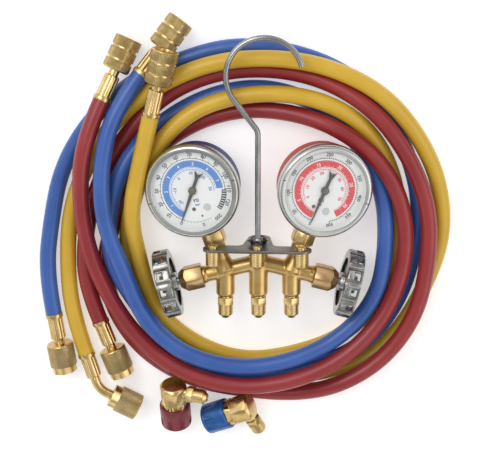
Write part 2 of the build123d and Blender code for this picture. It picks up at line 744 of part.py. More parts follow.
def hose_tube(name):
    """One hose: straight runs joined by tangent arcs, swept with a round section."""
    points = hose_routes[name]
    corners = [Vector(*point) for point in points]
    runs = [after - before for before, after in zip(corners, corners[1:])]
    radii = []
    for before, after in zip(runs, runs[1:]):
        half_turn = radians(before.get_angle(after) / 2)
        radii.append(arc_share * min(before.length, after.length) / tan(half_turn))
    path = FilletPolyline(*corners, radius=radii)
    section = Plane(along(corners[0], runs[0])) * Circle(hose_dia / 2)
    tube = sweep(section, path=path)
    share = tube.volume / (pi * hose_dia ** 2 / 4 * path.length)
    print(name, "hose length", round(path.length), "volume ratio", round(share, 4),
          "smallest radius", round(min(radii)), "all", [round(radius) for radius in radii])
    return single(tube)


def hose_end(name, far):
    """Frame of a hose end: Z points out of the hose, X is level."""
    points = hose_routes[name]
    end, inner = (points[-1], points[-2]) if far else (points[0], points[1])
    outward = Vector(*end) - Vector(*inner)
    return along(end, outward, (-outward.Y, outward.X, 0))


def ferrule():
    """Crimped ferrule: a collar at the hose and flutes along its body."""
    piece = rod(ferrule_collar_dia, 0, ferrule_collar_length)
    piece += rod(ferrule_dia, ferrule_collar_length, ferrule_length)
    rims = piece.edges().filter_by(GeomType.CIRCLE).sort_by(Axis.Z)
    piece = chamfer(rims[-1], ferrule_chamfer)
    flute_at = ferrule_dia / 2 + ferrule_flute_dia / 2 - ferrule_flute_depth
    piece -= [Rot(0, 0, 360 / ferrule_flutes * index) * Pos(flute_at, 0, 0) * rod(
        ferrule_flute_dia, ferrule_collar_length + ferrule_chamfer, ferrule_length + 1)
        for index in range(ferrule_flutes)]
    floor = ferrule_length - nipple_tail_length - seat_gap
    return single(piece - rod(nipple_tail_dia + 2 * fit_gap, floor, ferrule_length + 1))


def nipple_head(length):
    """Pipe end inside a nut of this length, from the nut's back face."""
    flange_end = length - nut_depth
    piece = rod(nipple_dia, 0, flange_end)
    piece += rod(nipple_flange_dia, flange_end - nipple_flange, flange_end)
    return piece, flange_end


def nipple(length):
    """Straight nipple with its tail in the ferrule; origin at the nut's back face."""
    piece, flange_end = nipple_head(length)
    tail_start = -nipple_neck - nipple_tail_length
    piece += rod(nipple_dia, -nipple_neck, 0.5)
    piece += rod(nipple_tail_dia, tail_start, -nipple_neck + 0.5)
    piece -= rod(nipple_bore_dia, tail_start - 1, flange_end + 1)
    piece -= taper(nipple_bore_dia - 0.8, nipple_flange_dia - 0.8, flange_end - nipple_flange, flange_end)
    return single(piece)


straight_seat = Pos(0, 0, ferrule_length + nipple_neck)

# Bent nipple: its pipe curves in the hose end's XZ plane before it meets the nut.
elbow_start = ferrule_length + elbow_lead
elbow_side = elbow_radius * (1 - cos(radians(elbow_angle)))
elbow_reach = elbow_start + elbow_radius * sin(radians(elbow_angle))
elbow_seat = Pos(elbow_side, 0, elbow_reach) * Rot(0, elbow_angle, 0) * Pos(0, 0, elbow_lead)


def bent_nipple():
    """Bent pipe from the far yellow ferrule to its nut."""
    half = radians(elbow_angle / 2)
    middle = (elbow_radius * (1 - cos(half)), 0, elbow_start + elbow_radius * sin(half))
    bend = ThreePointArc((0, 0, elbow_start), middle, (elbow_side, 0, elbow_reach))
    path = Line((0, 0, ferrule_length), (0, 0, elbow_start)) + bend + Line(bend @ 1, elbow_seat.position)
    bottom = Pos(0, 0, ferrule_length)
    head, flange_end = nipple_head(nut_knurl_length)
    piece = sweep(bottom * Circle(nipple_dia / 2), path=path) + elbow_seat * head
    piece += rod(nipple_tail_dia, ferrule_length - nipple_tail_length, ferrule_length + 0.5)
    piece -= sweep(bottom * Circle(nipple_bore_dia / 2), path=path)
    piece -= rod(nipple_bore_dia, ferrule_length - nipple_tail_length - 1, ferrule_length + 0.1)
    piece -= elbow_seat * rod(nipple_bore_dia, -0.1, flange_end + 1)
    return single(piece)


def nut_bores(piece, length):
    """Cut the turning fit on the nipple, the relief and the threaded bore into a nut."""
    seat = length - nut_depth - nipple_flange - seat_gap
    piece -= rod(nipple_dia + 2 * run_gap, -1, seat + 1)
    piece -= rod(nut_relief_dia, seat, length - nut_thread_length)
    return piece - rod(nut_bore_dia, length - nut_thread_length - 1, length + 1)


def band_nut():
    """Nut of the manifold end: three bands of flats parted by two grooves."""
    corner_dia = nut_band_flats + nut_band_round
    piece = prism(nut_band_sides, nut_band_flats, 0, nut_band_length)
    piece &= taper(corner_dia - 2 * nut_shoulder, corner_dia, 0, nut_shoulder) \
        + rod(corner_dia, nut_shoulder, nut_band_length)
    pitch = (nut_band_length + nut_band_groove) / 3
    for index in (1, 2):
        end = pitch * index
        ring = rod(2 * corner_dia, end - nut_band_groove, end)
        piece -= ring - rod(nut_band_groove_dia, end - nut_band_groove - 1, end + 1)
    return single(nut_bores(piece, nut_band_length))


def knurl_nut(ring_at_back):
    """Nut of the far end: plain barrel and a narrower ring of flats."""
    ring = prism(nut_ring_sides, nut_ring_flats, 0, nut_ring_length)
    ring &= rod(nut_ring_flats + 1, 0, nut_ring_length)
    barrel = rod(nut_knurl_dia, 0, nut_knurl_length - nut_ring_length)
    rims = barrel.edges().filter_by(GeomType.CIRCLE).sort_by(Axis.Z)
    barrel = fillet(rims[-1] if ring_at_back else rims[0], nut_shoulder)
    if ring_at_back:
        piece = ring + Pos(0, 0, nut_ring_length) * barrel
    else:
        piece = barrel + Pos(0, 0, nut_knurl_length - nut_ring_length) * ring
    return single(nut_bores(piece, nut_knurl_length))


# ---------------------------------------------------------------- couplers
# A coupler's frame: origin at its open end, Z towards its closed end.
coupler_places = {
    "low": along((-40.3, -147.6, 11.6), (0.881, 0.388, 0.27), (0.463, -0.823, -0.329)),
    "high": along((-64.3, -149.8, 11.4), (-0.039, 0.924, 0.382), (0.944, -0.09, 0.316)),
}


def coupler_body():
    """Brass body with its socket, a round band, a block of flats and a side port."""
    band_end = sleeve_length + coupler_band_show
    corner_dia = coupler_flats + coupler_round
    block_end = coupler_length - coupler_end_chamfer
    block = prism(6, coupler_flats, band_end, coupler_length)
    block &= rod(corner_dia, band_end, block_end) \
        + taper(corner_dia, corner_dia - 2 * coupler_end_chamfer, block_end, coupler_length)
    piece = block + rod(coupler_neck_dia, coupler_recess, coupler_band_start + 1)
    piece += rod(coupler_band_dia, coupler_band_start, band_end)
    port = Pos(0, 0, coupler_length - coupler_port_inset) * Rot(0, 90, 0)
    end, tip = flare_end(coupler_port_rise)
    piece += port * (end + rod(shank_dia, 0, coupler_port_rise + 0.5))
    piece -= rod(coupler_socket_dia, 0, coupler_recess + coupler_socket_depth)
    piece -= port * rod(flare_bore_dia, 0, tip + 1)
    piece -= rod(flare_bore_dia, coupler_recess, coupler_length - coupler_port_inset + 1)
    return single(piece)


def coupler_sleeve():
    """Sleeve that slides back over the band to let the coupler go."""
    piece = rod(sleeve_dia, 0, sleeve_length)
    rims = piece.edges().filter_by(GeomType.CIRCLE).sort_by(Axis.Z)
    piece = chamfer([rims[0], rims[-1]], sleeve_chamfer)
    slot_at = sleeve_dia / 2 + sleeve_slot_dia / 2 - sleeve_slot_depth
    piece -= [Rot(0, 0, 360 / sleeve_slots * index) * Pos(slot_at, 0, 0) * rod(
        sleeve_slot_dia, sleeve_slot_start, sleeve_slot_start + sleeve_slot_length)
        for index in range(sleeve_slots)]
    piece -= rod(coupler_neck_dia + 2 * run_gap, -1, sleeve_length + 1)
    return single(piece - rod(coupler_band_dia + 2 * run_gap, sleeve_step, sleeve_length + 1))


if __name__ == "__main__":
    save("manifold_body", body_frame * manifold_body())
    for x, name in ((-port_pitch, "low"), (0, "center"), (port_pitch, "high")):
        save("port_fitting_" + name, body_frame * port_fitting(x))
    save("stem_packings", *[body_frame * stem_packing(side) for side in (-1, 1)])
    for side in (-1, 1):
        name = side_name(side)
        save("packing_nut_" + name, body_frame * packing_nut(side))
        save("valve_disc_" + name, body_frame * valve_disc(side))
        save("valve_stem_" + name, body_frame * valve_stem(side))
        save("handwheel_" + name, body_frame * handwheel(side))
    save("hanger_plate", body_frame * hanger_plate())
    save("anchor_posts", *[body_frame * anchor_post(index) for index in (-1, 0, 1)])
    save("plate_locknut", body_frame * plate_locknut())
    save("hook", body_frame * hook())
    save("hook_nut", body_frame * hook_nut())
    for side in (-1, 1):
        name = side_name(side)
        face = body_frame * face_frame(side)
        save("gauge_case_" + name, face * gauge_case())
        save("gauge_bezel_" + name, face * gauge_bezel())
        save("gauge_lens_" + name, face * gauge_lens())
        save("gauge_dial_" + name, face * gauge_dial())
        save("gauge_socket_" + name, face * gauge_socket())
        save("bourdon_tube_" + name, face * bourdon_tube())
        save("movement_frame_" + name, face * movement_frame())
        save("sector_gear_" + name, face * sector_gear())
        save("needle_" + name, face * needle(zero_angles[side]))
    for name in hose_routes:
        near, far = hose_end(name, False), hose_end(name, True)
        save("hose_" + name, hose_tube(name))
        save("ferrules_" + name, near * ferrule(), far * ferrule())
        save("nipple_" + name + "_near", near * straight_seat * nipple(nut_band_length))
        save("nut_" + name + "_near", near * straight_seat * band_nut())
        if name == "yellow":
            save("nipple_yellow_far", far * bent_nipple())
            save("nut_yellow_far", far * elbow_seat * knurl_nut(True))
        else:
            save("nipple_" + name + "_far", far * straight_seat * nipple(nut_knurl_length))
            save("nut_" + name + "_far", far * straight_seat * knurl_nut(False))
    for name, place in coupler_places.items():
        save("coupler_body_" + name, place * coupler_body())
        save("coupler_sleeve_" + name, place * coupler_sleeve())
    print("nodes", node_count)
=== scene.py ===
"""Looks of a refrigerant manifold gauge set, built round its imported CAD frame."""
from __future__ import annotations

import json
import logging
import math
from collections.abc import Iterator
from contextlib import contextmanager
from dataclasses import dataclass, field
from enum import Enum

import bpy
from mathutils import Matrix, Vector

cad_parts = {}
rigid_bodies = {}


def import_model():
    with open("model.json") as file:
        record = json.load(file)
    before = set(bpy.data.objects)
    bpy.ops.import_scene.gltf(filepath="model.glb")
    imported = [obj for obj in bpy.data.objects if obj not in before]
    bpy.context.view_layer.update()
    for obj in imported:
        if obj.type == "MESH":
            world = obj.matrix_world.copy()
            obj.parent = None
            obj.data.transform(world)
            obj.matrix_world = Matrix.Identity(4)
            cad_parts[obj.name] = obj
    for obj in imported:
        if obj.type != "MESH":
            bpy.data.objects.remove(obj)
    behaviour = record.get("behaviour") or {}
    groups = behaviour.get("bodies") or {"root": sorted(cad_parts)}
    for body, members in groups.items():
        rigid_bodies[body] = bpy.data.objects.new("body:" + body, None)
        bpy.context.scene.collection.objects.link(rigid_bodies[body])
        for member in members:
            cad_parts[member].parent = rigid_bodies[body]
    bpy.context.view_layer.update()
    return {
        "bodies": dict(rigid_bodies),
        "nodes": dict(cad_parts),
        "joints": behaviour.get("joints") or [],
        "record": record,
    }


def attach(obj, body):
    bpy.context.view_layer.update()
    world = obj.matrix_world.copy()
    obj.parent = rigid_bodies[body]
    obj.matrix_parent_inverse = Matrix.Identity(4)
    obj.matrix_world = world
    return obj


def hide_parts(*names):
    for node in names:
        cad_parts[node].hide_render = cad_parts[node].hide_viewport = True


LOG = logging.getLogger("manifold_set")
MM = 0.001
PER_METRE = 1000
FULL_TURN = 2 * math.pi

Colour = tuple[float, float, float]
Point = tuple[float, float, float]

# Corners of each hose's line, in millimetres, from its manifold end to its far end.
HOSE_ROUTES: dict[str, tuple[Point, ...]] = {
    "blue": (
        (-87, 127, 20.5), (-107, 101, 26.5), (-117, 62, 31), (-116, 19, 34.5), (-101, -20, 34),
        (-86, -60, 34.5), (-55, -88, 31.5), (-14, -99, 29.5), (26, -93, 29),
        (63.7, -76.2, 22.3), (91, -44.6, 18.9), (97, -2, 20), (94, 39, 15), (75, 74, 6.5),
        (46, 103, 6.5), (6, 117, 6.5), (-35, 111, 6.5), (-72, 91, 7.5), (-100, 63, 19),
        (-113, 25, 19.5), (-113, -15, 20.5), (-92, -52, 21), (-67, -84, 19), (-31, -105, 18.5),
        (11, -107, 20), (51, -100, 15), (85, -84, 9.5), (109, -51, 6.5), (120, -12, 6.5),
        (123, 30, 6.5), (111, 70, 6.5), (91, 106, 6.5), (58, 131, 6.5), (19, 144, 6.5),
        (-22, 147, 6.5), (-62, 135, 6.5), (-99, 117, 6.5), (-128, 89, 6.5), (-149, 54, 6.5),
        (-158, 14, 6.5), (-163, -27, 11), (-158, -60, 11),
    ),
    "yellow": (
        (-79, 99, 35.5), (-87, 66, 33.5), (-96, 25, 34), (-91, -13, 17.5), (-82.5, -54, 10),
        (-54.8, -83.2, 8.2), (-14, -100, 8), (28, -95, 7), (67, -80, 6.5), (95, -49, 6.5),
        (106, -8, 6.5), (107, 34, 6.5), (92, 73, 6.5), (64, 101, 20), (26, 114, 22),
        (-17, 112, 19), (-55, 98, 20), (-83, 65, 21.5), (-96, 27, 19.5), (-102, -12, 7.5),
        (-96, -52.6, 6.5), (-75, -87, 6.5), (-40, -107, 6.5), (3, -113, 6.5), (44, -112, 6.5),
        (83, -102, 6.5), (111, -74, 6.5), (130, -37, 6.5), (142, 3, 6.5), (137, 45, 6.5),
        (118, 83, 15), (91, 114, 21), (53, 133, 20), (12, 140, 19.5), (-31, 137, 17.5),
        (-70, 122, 18.5), (-103, 97, 9.5), (-127, 63, 8.5), (-143, 24, 7.5), (-147, -18, 6.5),
        (-144, -59, 11.5), (-134, -92, 11.5),
    ),
    "red": (
        (-116, 108, 21), (-130, 78, 27.5), (-134, 37, 23.5), (-129, -6, 23), (-113, -46, 22.5),
        (-89, -81, 22.5), (-54, -105, 29.5), (-13, -114, 31.5), (29, -108, 32), (67, -91, 27),
        (96, -60.8, 21.6), (111, -21, 21), (111, 22, 21.5), (94, 60, 22), (61, 87, 22),
        (22, 99, 13), (-20, 99, 6.5), (-59, 84, 6.5), (-91, 56, 6.5), (-108, 18, 6.5),
        (-120, -20, 6.5), (-112, -61, 6.5), (-88, -95, 6.5), (-51, -117, 6.5), (-11, -125, 6.5),
        (30, -128, 7), (64, -116, 20.5), (98, -94, 19.5), (121, -59, 20), (129, -18, 20),
        (129, 24, 20), (114, 63, 20), (89, 98, 22), (55, 120, 12), (14, 130, 7.5),
        (-29, 128, 6.5), (-68, 112, 6.5), (-98, 83, 6.5), (-120, 47, 6.5), (-132, 7, 6.5),
        (-134, -35, 11), (-122.5, -65.7, 11),
    ),
}

# Shader numbers.
TONE_SPREAD = (0.36, 0.64)  # noise values between which one tone turns into the other
RUBBED_AND_GLINT_EDGES = (0.52, 0.6)  # curvature from which an edge is painted bright: rubbed wear on brass, painted highlight on chrome
SHADED_CORNERS = (0.49, 0.42)  # curvature below which a corner gets painted shade
GROOVE_SHADE_SPAN = (0.16, 0.02)  # knurl height between which a groove gets painted shade
GRAIN_RELIEF = 0.0002
KNURL_RELIEF = 0.0006
COAT_ROUGHNESS = 0.12
CORNER_SHADE_SHARE, EDGE_SHARE, GROOVE_SHADE_SHARE = 0.75, 0.6, 0.7

# Modelling numbers, in millimetres unless they say otherwise.
WELD_GAP = 0.02
FLAT_DEGREES = 0.6
THREAD_RADIUS = 5.55
THREAD_PITCH = 1.27
THREAD_STEPS = 40
PRINT_STEP_DEGREES = 3
SPOT_CORNERS = 28
LETTER_SCALE = 1.35  # from a letter's height to its font size


class Side(Enum):
    """The two sides of the set."""

    LOW = -1
    HIGH = 1

    @property
    def word(self) -> str:
        """Name of the side, as the CAD nodes use it."""
        return self.name.lower()

    @property
    def colour(self) -> str:
        """Colour word of the side."""
        return "blue" if self is Side.LOW else "red"


def route(name: str) -> list[Point]:
    """Corners of a hose's line in metres."""
    return [tuple(value / PER_METRE for value in corner) for corner in HOSE_ROUTES[name]]


# ---------------- shader nodes
def feed(tree: bpy.types.NodeTree, node: bpy.types.Node, inputs: dict[str | int, object]) -> None:
    """Feed a node's inputs, by name or number, with nodes, sockets or plain values."""
    for key, value in inputs.items():
        if isinstance(value, bpy.types.Node):
            value = value.outputs[0]
        if isinstance(value, bpy.types.NodeSocket):
            tree.links.new(value, node.inputs[key])
        else:
            node.inputs[key].default_value = value


def add_node(tree: bpy.types.NodeTree, kind: str, inputs: dict[str | int, object] | None = None,
             **settings: object) -> bpy.types.Node:
    """Add a shader node of a kind, named without its prefix, and set and feed it."""
    node = tree.nodes.new("ShaderNode" + kind)
    for key, value in settings.items():
        setattr(node, key, value)
    feed(tree, node, inputs or {})
    return node


def add_math(tree: bpy.types.NodeTree, operation: str, *terms: object) -> bpy.types.Node:
    """Add a math node over these sockets, nodes or numbers."""
    return add_node(tree, "Math", dict(enumerate(terms)), operation=operation)


def add_group(tree: bpy.types.NodeTree, name: str, inputs: dict) -> bpy.types.NodeOutputs:
    """Use a node group in a tree and return its outputs."""
    return add_node(tree, "Group", inputs, node_tree=bpy.data.node_groups[name]).outputs


def new_group(name: str, inputs: dict[str, object], outputs: dict[str, str]) -> bpy.types.NodeTree:
    """Start a shader node group from its inputs' defaults and its outputs' socket types."""
    tree = bpy.data.node_groups.new(name, "ShaderNodeTree")
    for label, default in inputs.items():
        kind = "NodeSocketFloat" if isinstance(default, float) else "NodeSocketColor"
        socket = tree.interface.new_socket(label, in_out="INPUT", socket_type=kind)
        socket.default_value = default
    for label, kind in outputs.items():
        tree.interface.new_socket(label, in_out="OUTPUT", socket_type="NodeSocket" + kind)
    tree.nodes.new("NodeGroupInput").name = "in"
    tree.nodes.new("NodeGroupOutput").name = "out"
    return tree


def span(limits: tuple[float, float], value: object) -> dict[str, object]:
    """Inputs of a map range node that turns a span of a value into 0 to 1."""
    return {"Value": value, "From Min": limits[0], "From Max": limits[1]}


def surface_grain_group() -> None:
    """Blotches of tone, uneven gloss and a fine bump, in object coordinates."""
    tree = new_group(
        "surface_grain",
        {"Tone A": (0.8, 0.8, 0.8, 1.0), "Tone B": (0.6, 0.6, 0.6, 1.0), "Blotch": 90.0,
         "Grain": 900.0, "Gloss low": 0.3, "Gloss high": 0.5, "Depth": 0.1},
        {"Colour": "Color", "Roughness": "Float", "Normal": "Vector"})
    given = tree.nodes["in"].outputs
    place = add_node(tree, "TexCoord").outputs["Object"]
    blotch = add_node(tree, "TexNoise", {"Vector": place, "Scale": given["Blotch"], "Detail": 4.0})
    share = add_node(tree, "MapRange", span(TONE_SPREAD, blotch))
    tone = add_node(tree, "Mix", {"Factor": share, "A": given["Tone A"], "B": given["Tone B"]},
                    data_type="RGBA")
    grain = add_node(tree, "TexNoise", {"Vector": place, "Scale": given["Grain"], "Detail": 3.0})
    gloss = add_node(tree, "MapRange", {"Value": grain, "To Min": given["Gloss low"],
                                        "To Max": given["Gloss high"]})
    bump = add_node(tree, "Bump", {"Strength": given["Depth"], "Distance": GRAIN_RELIEF,
                                   "Height": grain})
    feed(tree, tree.nodes["out"], {"Colour": tone.outputs["Result"], "Roughness": gloss,
                                   "Normal": bump})


def edge_wear_group() -> None:
    """Masks from the mesh's own curvature: bright edges, which are rubbed wear on brass and a
    painted highlight on chrome, and corners for painted shade.
    """
    tree = new_group("edge_wear", {}, {"Edges": "Float", "Corners": "Float"})
    bend = add_node(tree, "NewGeometry").outputs["Pointiness"]
    feed(tree, tree.nodes["out"], {
        "Edges": add_node(tree, "MapRange", span(RUBBED_AND_GLINT_EDGES, bend)),
        "Corners": add_node(tree, "MapRange", span(SHADED_CORNERS, bend))})


def knurl_group() -> None:
    """Diamond or straight knurl in a piece's own UV map, which is in millimetres; its grooves get
    painted shade.
    """
    tree = new_group("knurl", {"Pitch": 1.0, "Slant": 1.0, "Depth": 0.6},
                     {"Grooves": "Float", "Normal": "Vector"})
    given = tree.nodes["in"].outputs
    place = add_node(tree, "SeparateXYZ", {"Vector": add_node(tree, "UVMap", uv_map="round")})
    slant = add_math(tree, "MULTIPLY", place.outputs["Y"], given["Slant"])
    waves = []
    for sign in ("ADD", "SUBTRACT"):
        line = add_math(tree, sign, place.outputs["X"], slant)
        turns = add_math(tree, "DIVIDE", line, given["Pitch"])
        waves.append(add_math(tree, "PINGPONG", turns, 0.5))
    lower = add_math(tree, "MINIMUM", *waves)
    bump = add_node(tree, "Bump", {"Strength": given["Depth"], "Distance": KNURL_RELIEF,
                                   "Height": lower})
    feed(tree, tree.nodes["out"], {
        "Grooves": add_node(tree, "MapRange", span(GROOVE_SHADE_SPAN, lower)), "Normal": bump})


def lay_over(tree: bpy.types.NodeTree, below: bpy.types.NodeSocket, mask: bpy.types.NodeSocket,
             tone: Colour, share: float) -> bpy.types.NodeSocket:
    """Lay a tone over a colour where a mask is high, up to a share, and return the result."""
    part = add_math(tree, "MULTIPLY", mask, share)
    mix = add_node(tree, "Mix", {"Factor": part, "A": below, "B": (*tone, 1.0)}, data_type="RGBA")
    return mix.outputs["Result"]


def new_material(name: str, inputs: dict[str, object]) -> bpy.types.Material:
    """Make a material whose surface shader has these inputs."""
    material = bpy.data.materials.new(name)
    material.use_nodes = True
    feed(material.node_tree, material.node_tree.nodes["Principled BSDF"], inputs)
    return material


# ---------------- finishes
@dataclass(frozen=True)
class Finish:
    """A metal, paint, plastic or rubber finish.

    The two tones blend in soft blotches, and the gloss and bump vary with a fine grain.
    A knurl is its pitch in millimetres, its slant and its depth; its grooves get painted shade.
    """

    name: str
    tone_a: Colour
    tone_b: Colour
    metallic: float = 0.0
    gloss: tuple[float, float] = (0.3, 0.45)
    blotch: float = 90.0
    grain: float = 900.0
    depth: float = 0.1
    coat: float = 0.0
    # Bright edges are rubbed wear on brass and a painted highlight on chrome; corners get painted
    # shade.
    worn: bool = False
    knurl: tuple[float, float, float] | None = None
    wear_tone: Colour = (0.95, 0.8, 0.5)
    dark_tone: Colour = (0.16, 0.09, 0.03)

    def build(self) -> bpy.types.Material:
        """Make the material, or return the one already made."""
        label = "finish_" + self.name
        if label in bpy.data.materials:
            return bpy.data.materials[label]
        material = new_material(label, {
            "Metallic": self.metallic, "Coat Weight": self.coat, "Coat Roughness": COAT_ROUGHNESS})
        tree = material.node_tree
        surface = add_group(tree, "surface_grain", {
            "Tone A": (*self.tone_a, 1.0), "Tone B": (*self.tone_b, 1.0), "Blotch": self.blotch,
            "Grain": self.grain, "Gloss low": self.gloss[0], "Gloss high": self.gloss[1],
            "Depth": self.depth})
        colour, normal = surface["Colour"], surface["Normal"]
        if self.worn:
            curvature_masks = add_group(tree, "edge_wear", {})
            # Painted shade in concave corners.
            colour = lay_over(tree, colour, curvature_masks["Corners"], self.dark_tone, CORNER_SHADE_SHARE)
            # Bright edges: rubbed wear on brass, a painted highlight on chrome.
            colour = lay_over(tree, colour, curvature_masks["Edges"], self.wear_tone, EDGE_SHARE)
        if self.knurl:
            knurl = add_group(tree, "knurl", dict(zip(("Pitch", "Slant", "Depth"), self.knurl)))
            # Painted shade in the knurl's grooves.
            colour = lay_over(tree, colour, knurl["Grooves"], self.dark_tone, GROOVE_SHADE_SHARE)
            normal = knurl["Normal"]
        feed(tree, tree.nodes["Principled BSDF"], {
            "Roughness": surface["Roughness"], "Base Color": colour, "Normal": normal})
        return material


@dataclass(frozen=True)
class ClearGlass:
    """Thin clear window with a faint reflection."""

    tint: Colour = (0.95, 0.97, 0.98)
    roughness: float = 0.03
    cover: float = 0.05

    def build(self) -> bpy.types.Material:
        """Make the see-through material."""
        return new_material("gauge_glass", {
            "Base Color": (*self.tint, 1.0), "Roughness": self.roughness, "Alpha": self.cover})


def turned_brass(name: str, tone_a: Colour, tone_b: Colour, gloss: tuple[float, float],
                 **more: object) -> Finish:
    """Bright machined brass."""
    return Finish(name, tone_a, tone_b, 1.0, gloss, 120.0, 1800.0, 0.1, **more)


def paint(name: str, tone_a: Colour, tone_b: Colour) -> Finish:
    """Satin paint of a gauge case."""
    return Finish(name, tone_a, tone_b, 0.0, (0.4, 0.5), 60.0, 1200.0, 0.06, 0.05)


def rubber(colour: str, tone_a: Colour, tone_b: Colour) -> Finish:
    """Smooth rubber of a hose."""
    return Finish("hose_rubber_" + colour, tone_a, tone_b, 0.0, (0.3, 0.44), 26.0, 700.0,
                  0.06, 0.12)


def ink(colour: str, tone_a: Colour, tone_b: Colour) -> Finish:
    """Flat ink of a dial's print."""
    return Finish("ink_" + colour, tone_a, tone_b, gloss=(0.5, 0.6), depth=0.0)


KNURL_SHADE = (0.15, 0.09, 0.03)
BRASS = Finish("brass_cast", (0.56, 0.36, 0.12), (0.70, 0.49, 0.20), 1.0, (0.26, 0.44),
               60.0, 1400.0, 0.25, worn=True)
BRASS_TURNED = turned_brass("brass_turned", (0.62, 0.43, 0.17), (0.74, 0.55, 0.26), (0.2, 0.36))
BRASS_KNURLED = turned_brass("brass_knurled", (0.50, 0.37, 0.16), (0.62, 0.48, 0.25), (0.32, 0.46),
                             knurl=(1.5, 1.0, 1.3), dark_tone=KNURL_SHADE)
BRASS_RIBBED = turned_brass("brass_ribbed", (0.50, 0.35, 0.13), (0.62, 0.46, 0.21), (0.3, 0.45),
                            knurl=(1.1, 0.12, 1.2), dark_tone=KNURL_SHADE)
BRONZE = Finish("bronze_nut", (0.45, 0.27, 0.11), (0.56, 0.37, 0.17), 1.0, (0.24, 0.4),
                90.0, 1500.0, 0.15, worn=True, wear_tone=(0.85, 0.65, 0.38))
# The chrome wheels get a painted highlight on their edges and painted shade in their corners.
CHROME_CAST = Finish("chrome_cast", (0.26, 0.26, 0.25), (0.42, 0.42, 0.40), 1.0, (0.18, 0.34),
                     140.0, 1300.0, 0.35, worn=True, wear_tone=(0.95, 0.95, 0.96),
                     dark_tone=(0.08, 0.08, 0.09))
PLATE_STEEL = Finish("plate_steel", (0.17, 0.165, 0.145), (0.26, 0.25, 0.22), 1.0, (0.32, 0.46),
                     50.0, 1600.0, 0.12)
HOOK_STEEL = Finish("hook_steel", (0.30, 0.30, 0.30), (0.42, 0.42, 0.42), 1.0, (0.2, 0.32),
                    50.0, 1500.0, 0.08)
BEZEL_METAL = Finish("bezel_metal", (0.52, 0.53, 0.51), (0.64, 0.65, 0.62), 1.0, (0.2, 0.3),
                     40.0, 1300.0, 0.06)
DIAL_FACE = Finish("dial_face", (0.86, 0.87, 0.86), (0.89, 0.9, 0.89), 0.0, (0.45, 0.55),
                   30.0, 900.0, 0.02)
NEEDLE_BLACK = Finish("needle_black", (0.015, 0.015, 0.016), (0.025, 0.025, 0.026),
                      gloss=(0.3, 0.4), depth=0.03)
HUB_OLIVE = Finish("hub_olive", (0.10, 0.10, 0.045), (0.16, 0.15, 0.07), 0.6, (0.3, 0.42),
                   depth=0.05)
LOCKNUT_DARK = Finish("locknut_dark", (0.05, 0.052, 0.06), (0.09, 0.09, 0.1), 0.7, (0.35, 0.5),
                      grain=1200.0)
PACKING_DARK = Finish("packing_dark", (0.02, 0.02, 0.02), (0.035, 0.035, 0.035),
                      gloss=(0.6, 0.75), grain=1200.0)
HOSES = {
    "blue": rubber("blue", (0.028, 0.095, 0.36), (0.042, 0.12, 0.42)),
    "yellow": rubber("yellow", (0.62, 0.37, 0.022), (0.68, 0.43, 0.035)),
    "red": rubber("red", (0.27, 0.018, 0.022), (0.33, 0.028, 0.03)),
}
CASES = {
    Side.LOW: paint("case_blue", (0.012, 0.035, 0.17), (0.02, 0.05, 0.22)),
    Side.HIGH: paint("case_red", (0.50, 0.045, 0.012), (0.56, 0.06, 0.02)),
}
SLEEVES = {
    Side.LOW: Finish("sleeve_blue", (0.015, 0.10, 0.34), (0.028, 0.13, 0.40), 0.4, (0.28, 0.4),
                     90.0, 1200.0, 0.08, 0.2),
    # The red sleeve's knurl grooves get painted shade.
    Side.HIGH: Finish("sleeve_red", (0.24, 0.015, 0.035), (0.32, 0.025, 0.05), 0.4, (0.3, 0.42),
                      90.0, 1200.0, 0.08, 0.2, knurl=(1.6, 1.0, 1.0),
                      dark_tone=(0.05, 0.01, 0.012)),
}
INK_BLACK = ink("black", (0.02, 0.02, 0.022), (0.03, 0.03, 0.032))
INK_BLUE = ink("blue", (0.05, 0.22, 0.62), (0.06, 0.25, 0.66))
INK_RED = ink("red", (0.70, 0.02, 0.03), (0.76, 0.03, 0.04))
INK_WHITE = ink("white", (0.86, 0.87, 0.87), (0.9, 0.9, 0.9))
INK_GREEN = ink("green", (0.04, 0.42, 0.12), (0.05, 0.46, 0.14))
INK_GREY = ink("grey", (0.55, 0.55, 0.56), (0.6, 0.6, 0.61))


# ---------------- modelling
def clear_selection() -> None:
    """Leave object mode clean, with nothing selected."""
    if bpy.context.object and bpy.context.object.mode != "OBJECT":
        bpy.ops.object.mode_set(mode="OBJECT")
    bpy.ops.object.select_all(action="DESELECT")


def take(piece: bpy.types.Object) -> None:
    """Select one piece alone and make it the active one."""
    clear_selection()
    piece.select_set(True)
    bpy.context.view_layer.objects.active = piece


@contextmanager
def editing(piece: bpy.types.Object) -> Iterator[None]:
    """Keep a piece in edit mode, with its whole mesh selected at the start."""
    take(piece)
    bpy.ops.object.mode_set(mode="EDIT")
    bpy.ops.mesh.select_all(action="SELECT")
    yield
    bpy.ops.object.mode_set(mode="OBJECT")


def apply_modifier(piece: bpy.types.Object, kind: str, **settings: object) -> None:
    """Add a modifier of Blender's kind with these settings and apply it."""
    take(piece)
    modifier = piece.modifiers.new(kind.lower(), kind)
    for key, value in settings.items():
        setattr(modifier, key, value)
    bpy.ops.object.modifier_apply(modifier=modifier.name)


def dress(piece: bpy.types.Object, *finishes: Finish | ClearGlass) -> None:
    """Give a piece these finishes in place of those it has."""
    piece.data.materials.clear()
    for finish in finishes:
        piece.data.materials.append(finish.build())


def link(name: str, data: bpy.types.ID) -> bpy.types.Object:
    """Put a new object with this data into the scene."""
    piece = bpy.data.objects.new(name, data)
    bpy.context.scene.collection.objects.link(piece)
    return piece


def settle(piece: bpy.types.Object, name: str, body: str, slot: str,
           *finishes: Finish) -> bpy.types.Object:
    """Name a piece, let it ride on its body and dress it."""
    piece.name = name
    piece.data.name = name
    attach(piece, body)
    dress(piece, *finishes)
    return piece


